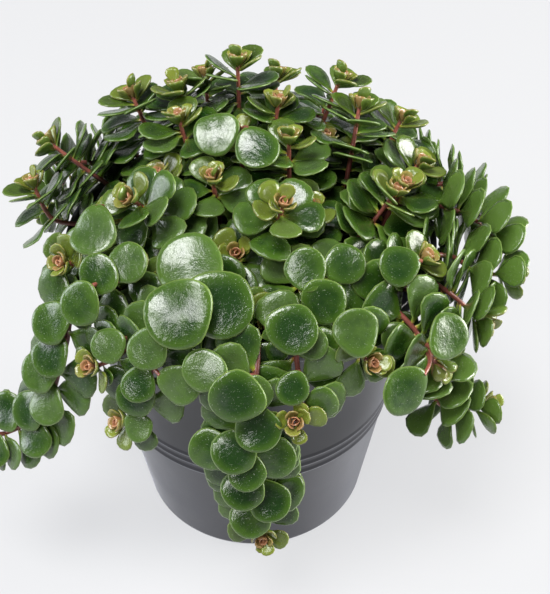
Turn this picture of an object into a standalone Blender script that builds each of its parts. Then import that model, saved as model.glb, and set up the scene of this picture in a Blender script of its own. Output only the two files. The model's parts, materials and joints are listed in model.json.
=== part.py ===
"""A potted trailing sedum: a ringed pot, its soil, and leafy shoots that each grow as one piece.

Units are metres, +Z is up, and the origin is the centre of the pot's underside. The front is -Y.
Every shoot is a stem with a bud at its tip and round fleshy leaves in a spiral below it. Stems are
laid first, each clear of the others. Leaves follow, youngest first, and a leaf that would meet
another plant part turns aside, lifts or stays smaller, as a crowded leaf does.
"""

import itertools
import math
from dataclasses import dataclass

import bmesh
import bpy
import numpy as np
from mathutils.bvhtree import BVHTree

MM = 0.001

# Pot
POT_HEIGHT = 0.115
POT_BASE_RADIUS = 0.0425
POT_RIM_RADIUS = 0.058
POT_WALL = 0.0022
POT_FLOOR = 0.003
LIP_WIDTH = 0.002
LIP_HEIGHT = 0.006
FOOT_ROUNDING = 0.0012
RING_HEIGHTS = (0.0475, 0.0515, 0.0555)
RING_PROUD = 0.0007
RING_HALF_HEIGHT = 0.0014
POT_SIDES = 40

# Soil
SOIL_BELOW_RIM = 0.011
SOIL_CROWN = 0.0015
FIT_GAP = 0.0004

# Stems
STEM_BASE_RADIUS = 0.0014
STEM_TIP_RADIUS = 0.0009
STEM_SIDES = 5
STEM_STEP = 0.011
CURVE_STEPS = 12
PLANTED_DEPTH = 0.006
SOCKET_GAP = 0.001
NECK_HEIGHT = 0.003
BUD_RINGS = ((0.0036, 0.0010), (0.0018, 0.0018), (0.0, 0.0007))

# Leaves
GOLDEN_ANGLE = 137.5
BUD_CLEAR = 0.0026
LEAF_STATIONS = (0.0, 0.45, 0.92)
GUARD_STATIONS = (0.0, 0.22, 0.5, 0.75, 0.92, 1.0)
PETIOLE_SHARE = 0.12
PETIOLE_HALF_WIDTH = 0.0006
LEAF_THICKNESS = 0.0012
LEAF_GAP = 0.0004
OWN_LEAF_GAP = 0.0001
STEM_SWINGS = (0, 3, -3, 6, -6, 9, -9, 12, -12, 16, -16)
STEM_RISES = (0, 1.5, 3, 4.5, 6)
YOUNG_PITCH = 60.0
OLD_PITCH = 6.0
TURNS_ASIDE = (0, 14, -14, 28, -28, 44, -44, 60, -60)
LIFTS = (0, 14, -14, 28, -28, 42)
SIZES_TRIED = (1.0, 0.9, 0.8, 0.7)
WINDOW = (0.0, -0.45, 0.75)
RISE_TO_LIGHT = 0.8

# The shoots' places are given for a pot of this size. In another pot they move with its rim.
GIVEN_RIM_RADIUS = 0.058
GIVEN_POT_HEIGHT = 0.115


@dataclass(frozen=True)
class Shoot:
    """One shoot. Places are polar about the pot's axis: degrees from +X, then millimetres."""

    name: str
    root: tuple  # azimuth, radius on the soil
    path: tuple  # azimuth, radius, height above the pot's underside, up to the tip
    leaves: int
    leaf: float  # length of its largest leaf, in millimetres
    turn: float  # azimuth of the youngest leaf about the stem, in degrees
    light: float  # how far the blades turn to the light, from 0 to 1
    spread: float = 1.0  # how far apart the leaves stand on the stem
    # leaves that stand out: azimuth, radius and height of the blade's middle, its width in
    # millimetres, and the azimuth and elevation that it faces
    broad: tuple = ()


SHOOTS = (
    # the crown, upright
    Shoot("crown_back", (100, 20), ((98, 30, 159),), 11, 15, 20, 0.1, 1.2),
    Shoot("crown_back_left", (118, 24), ((114, 38, 152),), 10, 15, 80, 0.2, 1.1),
    Shoot("crown_back_right", (58, 24), ((46, 42, 153),), 11, 15, 0, 0.15, 1.2),
    Shoot("crown_right", (16, 28), ((15, 32, 128), (25, 38, 151)), 11, 15, 60, 0.1, 1.4),
    Shoot("crown_middle", (345, 13), ((0, 12, 148),), 11, 15, 30, 0.2, 1.1),
    Shoot("crown_left", (166, 12), ((162, 23, 151),), 11, 16, 10, 0.35, 1.0),
    Shoot(
        "crown_centre", (220, 3),
        ((110, 8, 145),),
        10, 16, 200, 0.5, 1.1,
        broad=(
            (207, 11, 152, 14, 265, 50),
            (285, 10, 150, 14, 275, 60),
        ),
    ),
    Shoot("crown_rear", (75, 10), ((60, 18, 152),), 11, 15, 130, 0.2, 1.1),
    Shoot("crown_front", (232, 13), ((234, 18, 143),), 11, 14, 45, 0.3, 1.0),
    Shoot("crown_front_right", (287, 18), ((288, 25, 128), (290, 30, 143)), 11, 15, 200, 0.3, 1.1),
    # low in the middle
    Shoot("inner_front", (262, 20), ((264, 32, 128),), 9, 15, 150, 0.5, 1.0),
    Shoot("inner_right", (322, 18), ((318, 24, 134),), 9, 15, 20, 0.4, 1.0),
    Shoot("inner_front_right", (302, 38), ((304, 46, 128),), 9, 14, 250, 0.5, 1.0),
    Shoot("inner_left", (186, 16), ((190, 28, 138),), 9, 15, 90, 0.4, 1.0),
    Shoot("inner_back", (38, 24), ((36, 30, 138),), 9, 15, 60, 0.2, 1.0),
    Shoot("right_inner", (350, 38), ((348, 48, 138),), 9, 15, 120, 0.3, 1.0),
    # behind
    Shoot("back_left_high", (148, 26), ((147, 46, 150),), 11, 16, 100, 0.2, 1.0),
    Shoot("back_left_top", (136, 16), ((136, 32, 154),), 10, 15, 250, 0.2, 1.1),
    Shoot("back_high", (82, 34), ((80, 50, 145),), 11, 16, 10, 0.3, 1.1),
    Shoot("back_right_high", (30, 42), ((30, 58, 139),), 11, 16, 70, 0.3, 1.1),
    Shoot("back_mid_left", (122, 40), ((121, 60, 134),), 11, 16, 160, 0.3, 1.1),
    Shoot(
        "back_trailer_left", (104, 44),
        ((104, 62, 124), (104, 74, 106), (105, 76, 82)),
        13, 15, 0, 0.5, 1.4,
    ),
    Shoot(
        "back_trailer", (68, 44),
        ((68, 62, 124), (68, 75, 108), (66, 80, 88)),
        13, 15, 40, 0.5, 1.4,
    ),
    Shoot(
        "back_left_low", (138, 45),
        ((138, 62, 123), (139, 73, 112), (140, 79, 98)),
        12, 15, 130, 0.5, 1.2,
    ),
    Shoot(
        "back_right_low", (50, 45),
        ((50, 62, 123), (50, 73, 116), (50, 79, 104)),
        12, 15, 120, 0.4, 1.3,
    ),
    # the left side
    Shoot(
        "left_high", (164, 38),
        ((166, 48, 123), (167, 62, 133), (167, 67, 138)),
        11, 14, 30, 0.15, 1.3,
    ),
    Shoot(
        "left", (182, 42),
        ((183, 57, 119), (182, 65, 121), (180, 68, 132)),
        11, 14, 190, 0.15, 1.4,
    ),
    Shoot("left_crown", (222, 22), ((219, 35, 135), (219, 43, 144)), 10, 14, 100, 0.2, 1.0),
    Shoot("left_low", (208, 44), ((212, 56, 122), (214, 64, 128)), 10, 14, 60, 0.4, 1.1),
    Shoot(
        "left_broad", (196, 28),
        ((206, 42, 132),),
        10, 17, 140, 0.5, 1.1,
        broad=(
            (220, 56, 139, 15, 240, 55),
        ),
    ),
    Shoot(
        "left_front", (226, 40),
        ((229, 53, 127),),
        9, 15, 80, 0.6, 1.0,
        broad=(
            (231, 64, 135, 12, 250, 35),
            (230, 71, 128, 13, 245, 30),
            (237, 58, 138, 12, 250, 45),
        ),
    ),
    Shoot(
        "left_trailer", (219, 45),
        ((221, 62, 123), (222, 73, 103), (217, 80, 79), (210, 91, 66), (207, 97, 61)),
        17, 14, 20, 0.75, 1.3,
    ),
    Shoot(
        "left_skirt", (152, 45),
        ((153, 62, 123), (155, 74, 112), (157, 80, 98)),
        11, 15, 0, 0.4, 1.3,
    ),
    # the front
    Shoot("front_left_inner", (240, 34), ((238, 50, 124),), 9, 13, 10, 0.5, 1.1),
    Shoot(
        "front_left_low", (238, 45),
        ((240, 61, 121), (239, 69, 111), (235, 70, 107), (234, 74, 110)),
        12, 13, 150, 0.6, 1.1,
    ),
    Shoot(
        "front_left_trailer", (247, 45),
        ((248, 62, 121), (246, 69, 103), (242, 70, 91), (240, 74, 92)),
        14, 13, 40, 0.7, 1.2,
        broad=(
            (256, 72, 113, 12, 262, 28),
            (245, 74, 105, 12, 252, 28),
            (248, 71, 122, 12, 252, 35),
        ),
    ),
    Shoot(
        "front_broad", (256, 32),
        ((257, 46, 122),),
        9, 16, 215, 0.6, 1.0,
        broad=(
            (255, 67, 133, 19, 262, 42),
            (264, 60, 132, 19, 276, 40),
            (252, 51, 138, 19, 262, 62),
        ),
    ),
    Shoot(
        "front_trailer", (272, 45),
        (
            (273, 60, 119),
            (272, 69, 112),
            (270, 73, 98),
            (271, 71, 79),
            (273, 68, 60),
            (273, 69, 49),
            (273, 74, 50),
        ),
        18, 14, 10, 0.75, 1.2,
        broad=(
            (268, 78, 116, 15, 270, 25),
            (261, 72, 120, 12, 262, 40),
            (262, 76, 92, 13, 262, 25),
            (276, 77, 90, 13, 280, 25),
        ),
    ),
    Shoot(
        "front_middle", (276, 36),
        ((277, 53, 120),),
        9, 14, 60, 0.6, 1.1,
        broad=(
            (281, 67, 129, 14, 274, 42),
        ),
    ),
    Shoot(
        "front_low", (282, 45),
        ((282, 60, 120), (282, 69, 110), (281, 72, 101), (280, 76, 104)),
        13, 14, 130, 0.7, 1.1,
    ),
    Shoot(
        "front_right_crown", (289, 32),
        ((292, 44, 126),),
        9, 15, 20, 0.6, 1.1,
        broad=(
            (288, 52, 137, 12, 270, 42),
            (301, 53, 135, 12, 280, 45),
            (291, 59, 129, 13, 275, 30),
        ),
    ),
    Shoot(
        "front_right_low", (293, 45),
        ((296, 60, 120), (297, 67, 113), (298, 72, 115)),
        12, 14, 70, 0.6, 1.1,
        broad=(
            (294, 71, 128, 13, 280, 35),
        ),
    ),
    # the right side
    Shoot(
        "right_crown", (330, 28),
        ((338, 39, 125), (341, 43, 130), (343, 46, 138)),
        11, 16, 200, 0.2, 1.3,
    ),
    Shoot(
        "right_front", (306, 28),
        ((311, 42, 117), (319, 54, 120), (325, 62, 130)),
        12, 14, 0, 0.4, 1.5,
        broad=(
            (313, 61, 134, 12, 290, 45),
        ),
    ),
    Shoot(
        "right_trailer_high", (355, 30),
        ((355, 46, 125), (355, 57, 127), (355, 67, 124), (355, 75, 119), (356, 81, 114)),
        18, 15, 90, 0.0, 1.2,
    ),
    Shoot(
        "right_trailer", (337, 44),
        ((339, 61, 121), (342, 70, 115), (345, 77, 110), (348, 84, 109)),
        13, 14, 0, 0.1, 1.4,
    ),
    Shoot(
        "right_lobe", (324, 45),
        ((327, 62, 121), (330, 72, 113), (333, 79, 105)),
        11, 15, 220, 0.4, 1.2,
    ),
    Shoot(
        "right_front_low", (308, 45),
        ((311, 61, 121), (314, 71, 112), (316, 76, 103)),
        12, 15, 75, 0.6, 1.2,
        broad=(
            (303, 80, 107, 15, 300, 25),
            (316, 79, 117, 14, 305, 35),
        ),
    ),
    Shoot(
        "right_low_trailer", (316, 44),
        (
            (319, 61, 121),
            (321, 69, 103),
            (322, 70, 85),
            (327, 75, 72),
            (331, 80, 70),
            (334, 86, 71),
        ),
        17, 14, 100, 0.2, 1.4,
    ),
    Shoot(
        "right_skirt", (12, 45),
        ((12, 62, 123), (12, 73, 116), (12, 80, 104)),
        12, 15, 170, 0.4, 1.3,
    ),
    Shoot("right_back", (8, 36), ((6, 54, 136),), 11, 16, 50, 0.3, 1.1),
    Shoot(
        "right_back_low", (31, 45),
        ((32, 62, 123), (33, 74, 112), (33, 78, 96)),
        12, 15, 10, 0.5, 1.3,
    ),
)


def polar(azimuth, radius, height):
    """A point in metres from degrees and millimetres."""
    angle = math.radians(azimuth)
    return np.array([radius * math.cos(angle), radius * math.sin(angle), height]) * MM


def unit(vector):
    """The vector at length one."""
    return vector / np.linalg.norm(vector)


def from_rim(azimuth, radius, height):
    """A shoot's place in metres: it moves out and up with the rim of the pot."""
    outward = POT_RIM_RADIUS / GIVEN_RIM_RADIUS
    upward = (POT_HEIGHT - GIVEN_POT_HEIGHT) / MM
    return polar(azimuth, radius * outward, height + upward)


# ---------------------------------------------------------------- pot and soil


def wall_radius(height):
    """Outer radius of the pot's tapering wall at a height."""
    return POT_BASE_RADIUS + (POT_RIM_RADIUS - POT_BASE_RADIUS) * height / POT_HEIGHT


def pot_profile():
    """The pot's section from the centre of its underside, up the outside and down the inside."""
    foot = FOOT_ROUNDING
    outline = [(0.0, 0.0), (POT_BASE_RADIUS - foot, 0.0), (wall_radius(foot), foot)]
    for height in RING_HEIGHTS:
        outline.append((wall_radius(height - RING_HALF_HEIGHT), height - RING_HALF_HEIGHT))
        outline.append((wall_radius(height) + RING_PROUD, height))
    top_ring = RING_HEIGHTS[-1] + RING_HALF_HEIGHT
    outline.append((wall_radius(top_ring), top_ring))
    under_lip = POT_HEIGHT - LIP_HEIGHT
    lip_radius = POT_RIM_RADIUS + LIP_WIDTH
    outline.append((wall_radius(under_lip), under_lip))
    outline.append((lip_radius, under_lip + LIP_WIDTH))
    outline.append((lip_radius, POT_HEIGHT - foot / 2))
    outline.append((lip_radius - foot / 2, POT_HEIGHT))
    outline.append((POT_RIM_RADIUS - POT_WALL, POT_HEIGHT))
    outline.append((wall_radius(POT_FLOOR) - POT_WALL, POT_FLOOR))
    outline.append((0.0, POT_FLOOR))
    return outline


def soil_profile():
    """The soil's section: it fills the pot, a fit gap clear of it, and is a little higher in the middle."""
    bottom = POT_FLOOR + FIT_GAP
    top = POT_HEIGHT - SOIL_BELOW_RIM
    inside = POT_WALL + FIT_GAP
    return [
        (0.0, bottom),
        (wall_radius(bottom) - inside, bottom),
        (wall_radius(top) - inside, top),
        (0.6 * POT_RIM_RADIUS, top + 0.8 * SOIL_CROWN),
        (0.0, top + SOIL_CROWN),
    ]


def turned(profile):
    """Vertices and faces of a section turned about +Z. Its first and last points are on the axis."""
    vertices = [(0.0, 0.0, profile[0][1]), (0.0, 0.0, profile[-1][1])]
    rings = profile[1:-1]
    for radius, height in rings:
        for side in range(POT_SIDES):
            angle = 2 * math.pi * side / POT_SIDES
            vertices.append((radius * math.cos(angle), radius * math.sin(angle), height))
    faces = []
    last = 2 + (len(rings) - 1) * POT_SIDES
    for side in range(POT_SIDES):
        after = (side + 1) % POT_SIDES
        faces.append((0, 2 + after, 2 + side))
        faces.append((1, last + side, last + after))
        for ring in range(len(rings) - 1):
            low = 2 + ring * POT_SIDES
            high = low + POT_SIDES
            faces.append((low + side, low + after, high + after, high + side))
    return np.array(vertices), faces


# ---------------------------------------------------------------- stems


def soil_top(radius):
    """Height of the soil's surface at a radius."""
    return POT_HEIGHT - SOIL_BELOW_RIM + SOIL_CROWN * max(0.0, 1 - radius / POT_RIM_RADIUS)


def stem_curve(shoot, swing, rise):
    """A smooth line along a stem, from its planted end to its tip.

    swing moves the root round the pot, in degrees, and the rest of the stem less and less. rise
    lifts what is between root and tip, in millimetres, for a stem that crosses over another.
    """
    azimuth, radius = shoot.root
    radius *= POT_RIM_RADIUS / GIVEN_RIM_RADIUS
    surface = soil_top(radius * MM) / MM
    planted = surface - PLANTED_DEPTH / MM
    neck = surface + NECK_HEIGHT / MM
    knots = [polar(azimuth + swing, radius, planted), polar(azimuth + swing, radius, neck)]
    for index, (angle, reach, height) in enumerate(shoot.path):
        if index < len(shoot.path) - 1:
            angle += swing / (index + 2)
            height += rise
        knots.append(from_rim(angle, reach, height))
    curve = [knots[0]]
    padded = [2 * knots[0] - knots[1], *knots, 2 * knots[-1] - knots[-2]]
    for before, start, end, after in zip(padded, padded[1:], padded[2:], padded[3:]):
        for step in range(1, CURVE_STEPS + 1):
            t = step / CURVE_STEPS
            bend = (2 * before - 5 * start + 4 * end - after) * t * t
            twist = (3 * start - before - 3 * end + after) * t**3
            curve.append(0.5 * (2 * start + (end - before) * t + bend + twist))
    return np.array(curve)


def lengths_along(points):
    """Distance of each point from the first, along the line."""
    return np.concatenate([[0], np.cumsum(np.linalg.norm(np.diff(points, axis=0), axis=1))])


def stem_rings(curve):
    """Where a stem's rings stand on its curve: at the soil, evenly up it, and round its bud."""
    along = lengths_along(curve)
    bud = BUD_RINGS[0][0]
    count = max(3, round((along[-1] - bud - PLANTED_DEPTH) / STEM_STEP))
    even = np.linspace(PLANTED_DEPTH, along[-1] - bud, count + 1)
    stations = np.concatenate([[0.0], even, [along[-1] - below for below, _ in BUD_RINGS[1:]]])
    return np.stack([np.interp(stations, along, curve[:, axis]) for axis in range(3)], axis=1)


def frames_along(points):
    """A tangent and a steady sideways direction at each point of a line."""
    tangents = np.gradient(points, axis=0)
    tangents /= np.linalg.norm(tangents, axis=1)[:, None]
    side = unit(np.cross(tangents[0], [0.31, 0.95, 0.0]))
    sides = []
    for tangent in tangents:
        side = unit(side - tangent * (side @ tangent))
        sides.append(side)
    return tangents, np.array(sides)


def stem_radii(count):
    """Radius at each point of a stem: a taper, then the bud."""
    stem = np.linspace(STEM_BASE_RADIUS, STEM_TIP_RADIUS, count - len(BUD_RINGS) + 1)
    return [*stem[:-1], *(radius for _, radius in BUD_RINGS)]


def tube(points, radii, sides):
    """Vertices and faces of a closed tube along a line."""
    tangents, across = frames_along(points)
    vertices = []
    for point, tangent, side, radius in zip(points, tangents, across, radii):
        other = np.cross(tangent, side)
        for corner in range(sides):
            angle = 2 * math.pi * corner / sides
            vertices.append(point + radius * (math.cos(angle) * side + math.sin(angle) * other))
    return np.array(vertices), ringed(len(vertices), sides)


# ---------------------------------------------------------------- leaves


@dataclass(frozen=True)
class Leaf:
    """A leaf's form. Lengths are metres, and the rest are shares of its length or half width."""

    length: float
    width: float
    wedge: float  # 0 is a round blade, 1 a spoon with a long wedge
    cup: float  # edges up if above 0
    droop: float  # tip down if above 0
    rise: float = 0.0  # height of the blade above its base, in metres, gained along its petiole


def leaf_form(shoot, index, size):
    """The form of the leaf that is index places below the bud: the youngest are small spoons."""
    youth = math.exp(-index / 2.5)
    length = shoot.leaf * MM * (1 - 0.56 * youth) * size
    width = length * (0.90 - 0.20 * youth)
    return Leaf(length, width, 0.20 + 0.45 * youth, 0.30 * youth - 0.10, 0.15 - 0.28 * youth)


def blade_share(t, wedge):
    """Half width of a blade at a share of its length, as a share of its widest."""
    t = min(max((t - PETIOLE_SHARE) / (1 - PETIOLE_SHARE), 0.0), 1.0)
    widest = (0.5 + wedge) / (1 + wedge)
    peak = widest ** (0.5 + wedge) * (1 - widest) ** 0.5
    return t ** (0.5 + wedge) * (1 - t) ** 0.5 / peak


def leaf_section(leaf, t):
    """Half width, height of the edges and height of the middle of a leaf's upper side."""
    share = blade_share(t, leaf.wedge)
    half = max(PETIOLE_HALF_WIDTH, leaf.width / 2 * share)
    middle = leaf.rise * min(1.0, t / LEAF_STATIONS[1]) - leaf.droop * leaf.length * t * t
    return half, middle + leaf.cup * half * share, middle


def ringed(corners, sides):
    """Faces of a closed skin over rings of corners, ring after ring."""
    faces = [tuple(range(sides))[::-1]]
    for low in range(0, corners - sides, sides):
        for corner in range(sides):
            after = (corner + 1) % sides
            faces.append((low + corner, low + after, low + sides + after, low + sides + corner))
    faces.append(tuple(range(corners - sides, corners)))
    return faces


def leaf_solid(leaf):
    """Vertices and faces of a plain leaf along +Y, upper side +Z, with its base at the origin."""
    vertices = []
    for t in LEAF_STATIONS:
        half, edge, middle = leaf_section(leaf, t)
        y = t * leaf.length
        depth = LEAF_THICKNESS if t > 0 else PETIOLE_HALF_WIDTH
        vertices += [(-half, y, edge), (half, y, edge), (0.0, y, middle - depth)]
    return np.array(vertices), ringed(len(vertices), 3)


def leaf_guard(leaf, first, gap):
    """A leaf's outline with a gap round it, from a guard station outwards, to test what it meets."""
    vertices = []
    for t in GUARD_STATIONS[first:]:
        half, edge, middle = leaf_section(leaf, t)
        y = t * leaf.length + (gap if t == 1.0 else 0.0)
        top = max(middle, edge) + gap
        low = middle - LEAF_THICKNESS - gap
        vertices += [(-half - gap, y, edge), (0.0, y, top), (half + gap, y, edge), (0.0, y, low)]
    return np.array(vertices), ringed(len(vertices), 4)


def leaf_axes(along, normal):
    """Axes of a leaf, as rows: across, along and out of its upper side."""
    along = unit(along - normal * (along @ normal))
    return np.array([np.cross(along, normal), along, normal])


def spiral_axes(shoot, point, tangent, side, turn, pitch):
    """Axes of a leaf in a shoot's spiral.

    The blade leans towards the stem's tip by pitch, then turns part of the way to the light,
    which comes from above, from outside the plant and from the window at its front.
    """
    angle = math.radians(turn)
    lean = math.radians(pitch)
    outward = math.cos(angle) * side + math.sin(angle) * np.cross(tangent, side)
    along = math.cos(lean) * outward + math.sin(lean) * tangent
    normal = math.cos(lean) * tangent - math.sin(lean) * outward
    light = unit(np.array([point[0], point[1], 0.0]) / POT_RIM_RADIUS * 0.5 + WINDOW)
    reach = along + np.array([0.0, 0.0, RISE_TO_LIGHT * shoot.light])
    return leaf_axes(reach, unit((1 - shoot.light) * normal + shoot.light * light))


class Garden:
    """What has grown so far, with a search tree and a bounding ball for each piece."""

    def __init__(self):
        self.owners, self.trees, self.centres, self.reaches = [], [], [], []
        for owner, profile in (("pot", pot_profile()), ("soil", soil_profile())):
            self.add(owner, *turned(profile))

    def add(self, owner, vertices, faces):
        """Records a piece."""
        centre = vertices.mean(axis=0)
        self.owners.append(owner)
        self.trees.append(BVHTree.FromPolygons(vertices.tolist(), faces))
        self.centres.append(centre)
        self.reaches.append(np.linalg.norm(vertices - centre, axis=1).max())

    def meets(self, vertices, faces, counts):
        """True if the piece would meet one that has grown and whose owner counts."""
        centre = vertices.mean(axis=0)
        reach = np.linalg.norm(vertices - centre, axis=1).max()
        away = np.linalg.norm(np.array(self.centres) - centre, axis=1)
        tree = None
        for index in np.nonzero(away < reach + np.array(self.reaches))[0]:
            if counts(self.owners[index]):
                tree = tree or BVHTree.FromPolygons(vertices.tolist(), faces)
                if tree.overlap(self.trees[index]):
                    return True
        return False


def lay_stem(garden, shoot):
    """A stem's rings, moved as little as keeps it clear of the pot and the stems before it."""
    for rise, swing in itertools.product(STEM_RISES, STEM_SWINGS):
        curve = stem_curve(shoot, swing, rise)
        rings = stem_rings(curve)
        radii = [radius + LEAF_GAP for radius in stem_radii(len(rings))]
        vertices, faces = tube(rings[1:], radii[1:], STEM_SIDES)
        if not garden.meets(vertices, faces, lambda owner: owner != "soil"):
            garden.add(shoot.name, vertices, faces)
            return rings
    raise ValueError(f"{shoot.name} has no clear way up")


def leaf_place(rings, below):
    """Point, tangent and sideways direction on a stem, a distance below its tip."""
    along = lengths_along(rings)
    at = along[-1] - below
    if at < PLANTED_DEPTH + NECK_HEIGHT:
        return None
    tangents, sides = frames_along(rings)
    values = [np.interp(at, along, column) for column in np.hstack([rings, tangents, sides]).T]
    point, tangent, side = np.array(values[:3]), unit(np.array(values[3:6])), np.array(values[6:])
    return point, tangent, unit(side - tangent * (side @ tangent))


def below_tip(shoot, index):
    """Distance from a shoot's tip down to a leaf: crowded at the tip, then wider apart."""
    return BUD_CLEAR + shoot.spread * MM * sum(0.7 + 0.42 * step for step in range(index))


def set_leaf(garden, shoot, leaf, point, axes, own_station=1):
    """A leaf's vertices and faces if there is room for it there, or None.

    A shoot's own leaves may meet at their petioles, which share a stem, but not beyond the guard
    station given.
    """
    petioles = f"{shoot.name} petioles"
    whole, whole_faces = leaf_guard(leaf, 0, LEAF_GAP)
    whole = whole @ axes + point
    if garden.meets(whole, whole_faces, lambda owner: owner not in (shoot.name, petioles)):
        return None
    blade, blade_faces = leaf_guard(leaf, own_station, OWN_LEAF_GAP)
    if garden.meets(blade @ axes + point, blade_faces, lambda owner: owner == shoot.name):
        return None
    kept, kept_faces = leaf_guard(leaf, 1, OWN_LEAF_GAP)
    garden.add(shoot.name, kept @ axes + point, kept_faces)
    garden.add(petioles, whole, whole_faces)
    vertices, faces = leaf_solid(leaf)
    return vertices @ axes + point, faces


def grow_broad_leaf(garden, shoot, rings, broad):
    """One of the leaves that stand out: it reaches from the nearest stretch of stem to its place."""
    azimuth, radius, height, width, facing, tilt = broad
    middle = from_rim(azimuth, radius, height)
    along = lengths_along(rings)
    stretch = np.arange(PLANTED_DEPTH + NECK_HEIGHT, along[-1], MM)
    line = np.stack([np.interp(stretch, along, rings[:, axis]) for axis in range(3)], axis=1)
    point = line[np.argmin(np.linalg.norm(line - middle, axis=1))]
    normal = unit(polar(facing, math.cos(math.radians(tilt)), math.sin(math.radians(tilt))))
    axes = leaf_axes(middle - point, normal)
    _, reach, rise = axes @ (middle - point)
    leaf = Leaf(reach + 0.46 * width * MM, width * MM, 0.08, -0.06, 0.0, rise)
    grown = set_leaf(garden, shoot, leaf, point, axes, own_station=2)
    if grown is None:
        raise ValueError(f"{shoot.name} has no room for its leaf at {azimuth}, {radius}, {height}")
    return grown


def grow_leaf(garden, shoot, rings, index):
    """The vertices and faces of a shoot's next leaf, or None where there is no room for it."""
    place = leaf_place(rings, below_tip(shoot, index))
    if place is None:
        return None
    point, tangent, side = place
    pitch = OLD_PITCH + YOUNG_PITCH * math.exp(-index / 3.0)
    turn = shoot.turn + GOLDEN_ANGLE * index
    for size in SIZES_TRIED:
        leaf = leaf_form(shoot, index, size)
        for lift in LIFTS:
            for aside in TURNS_ASIDE:
                axes = spiral_axes(shoot, point, tangent, side, turn + aside, pitch + lift)
                grown = set_leaf(garden, shoot, leaf, point, axes)
                if grown:
                    return grown
    return None


def grow_plant():
    """Every shoot's stem rings and leaves, by name. The broad leaves and their stems come first."""
    garden = Garden()
    stems = {}
    leaves = {shoot.name: [] for shoot in SHOOTS}
    for shoot in sorted(SHOOTS, key=lambda shoot: not shoot.broad):
        stems[shoot.name] = lay_stem(garden, shoot)
        for broad in shoot.broad:
            leaves[shoot.name].append(grow_broad_leaf(garden, shoot, stems[shoot.name], broad))
    for index in range(max(shoot.leaves for shoot in SHOOTS)):
        for shoot in SHOOTS:
            if index < shoot.leaves:
                leaves[shoot.name].append(grow_leaf(garden, shoot, stems[shoot.name], index))
    return stems, {name: [leaf for leaf in grown if leaf] for name, grown in leaves.items()}


# ---------------------------------------------------------------- objects


def plain_material(name, colour, roughness):
    """A Principled material with one colour."""
    material = bpy.data.materials.new(name)
    material.use_nodes = True
    shader = material.node_tree.nodes["Principled BSDF"]
    shader.inputs["Base Color"].default_value = (*colour, 1.0)
    shader.inputs["Roughness"].default_value = roughness
    shader.inputs["Metallic"].default_value = 0.0
    return material


def add_object(name, vertices, faces, material):
    """A mesh object, shaded smooth with its creases kept."""
    mesh = bpy.data.meshes.new(name)
    mesh.from_pydata([tuple(vertex) for vertex in vertices], [], faces)
    body = bmesh.new()
    body.from_mesh(mesh)
    bmesh.ops.recalc_face_normals(body, faces=body.faces)
    body.to_mesh(mesh)
    body.free()
    mesh.materials.append(material)
    mesh.shade_smooth()
    mesh.set_sharp_from_angle(angle=math.radians(40))
    created = bpy.data.objects.new(name, mesh)
    bpy.context.scene.collection.objects.link(created)
    return created


def add_helper(name, pieces, material):
    """Several closed shells in one hidden object, for a Boolean."""
    vertices, faces = [], []
    for piece_vertices, piece_faces in pieces:
        start = len(vertices)
        vertices += [tuple(vertex) for vertex in piece_vertices]
        faces += [tuple(start + corner for corner in face) for face in piece_faces]
    helper = add_object(name, vertices, faces, material)
    helper.hide_render = True
    helper.display_type = "WIRE"
    return helper


def add_boolean(target, helper, operation):
    """Joins a helper to an object, or cuts it away. Its shells may overlap each other."""
    modifier = target.modifiers.new(operation.lower(), "BOOLEAN")
    modifier.operation = operation
    modifier.solver = "EXACT"
    modifier.use_self = True
    modifier.object = helper


def enclosed_volume(faces):
    """Signed volume inside a skin: below zero for the skin of a sealed pocket."""
    volume = 0.0
    for face in faces:
        first, *others = [corner.co for corner in face.verts]
        for one, other in zip(others, others[1:]):
            volume += first.dot(one.cross(other)) / 6
    return volume


def skins(body):
    """The separate skins of a mesh, each as a list of faces."""
    left = set(body.faces)
    while left:
        skin, unread = [], [left.pop()]
        while unread:
            face = unread.pop()
            skin.append(face)
            for edge in face.edges:
                fresh = [near for near in edge.link_faces if near in left]
                left.difference_update(fresh)
                unread.extend(fresh)
        yield skin


def fill_pockets(target, graph):
    """Settles an object's Booleans and fills any pocket sealed in where leaves meet at the stem."""
    shape = bpy.data.meshes.new_from_object(target.evaluated_get(graph))
    body = bmesh.new()
    body.from_mesh(shape)
    pockets = [face for skin in list(skins(body)) if enclosed_volume(skin) < 0 for face in skin]
    bmesh.ops.delete(body, geom=pockets, context="FACES")
    body.to_mesh(shape)
    body.free()
    target.modifiers.clear()
    target.data = shape


def planting_hole(points):
    """A socket in the soil round a stem's planted end, open at the top."""
    down = points[0] - points[1]
    ends = np.array([points[0] + unit(down) * FIT_GAP, points[1] - down])
    return tube(ends, [STEM_BASE_RADIUS + SOCKET_GAP] * 2, STEM_SIDES)


def main():
    """Builds every object at rest."""
    for item in list(bpy.data.objects):
        bpy.data.objects.remove(item)
    pot_plastic = plain_material("pot_plastic", (0.068, 0.070, 0.088), 0.42)
    peat = plain_material("peat", (0.030, 0.020, 0.014), 0.95)
    foliage = plain_material("foliage", (0.075, 0.200, 0.045), 0.35)

    plant = bpy.data.objects.new("plant", None)
    bpy.context.scene.collection.objects.link(plant)
    add_object("pot", *turned(pot_profile()), pot_plastic)
    soil = add_object("soil", *turned(soil_profile()), peat)

    stems, leaves = grow_plant()
    holes = add_helper("planting_holes", [planting_hole(rings) for rings in stems.values()], peat)
    add_boolean(soil, holes, "DIFFERENCE")
    for name, rings in stems.items():
        stem = add_object(name, *tube(rings, stem_radii(len(rings)), STEM_SIDES), foliage)
        stem.parent = plant
        helper = add_helper(f"{name}_leaves", leaves[name], foliage)
        add_boolean(stem, helper, "UNION")
    graph = bpy.context.evaluated_depsgraph_get()
    for name in stems:
        fill_pockets(bpy.data.objects[name], graph)
        bpy.data.objects.remove(bpy.data.objects[f"{name}_leaves"])


main()
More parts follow.
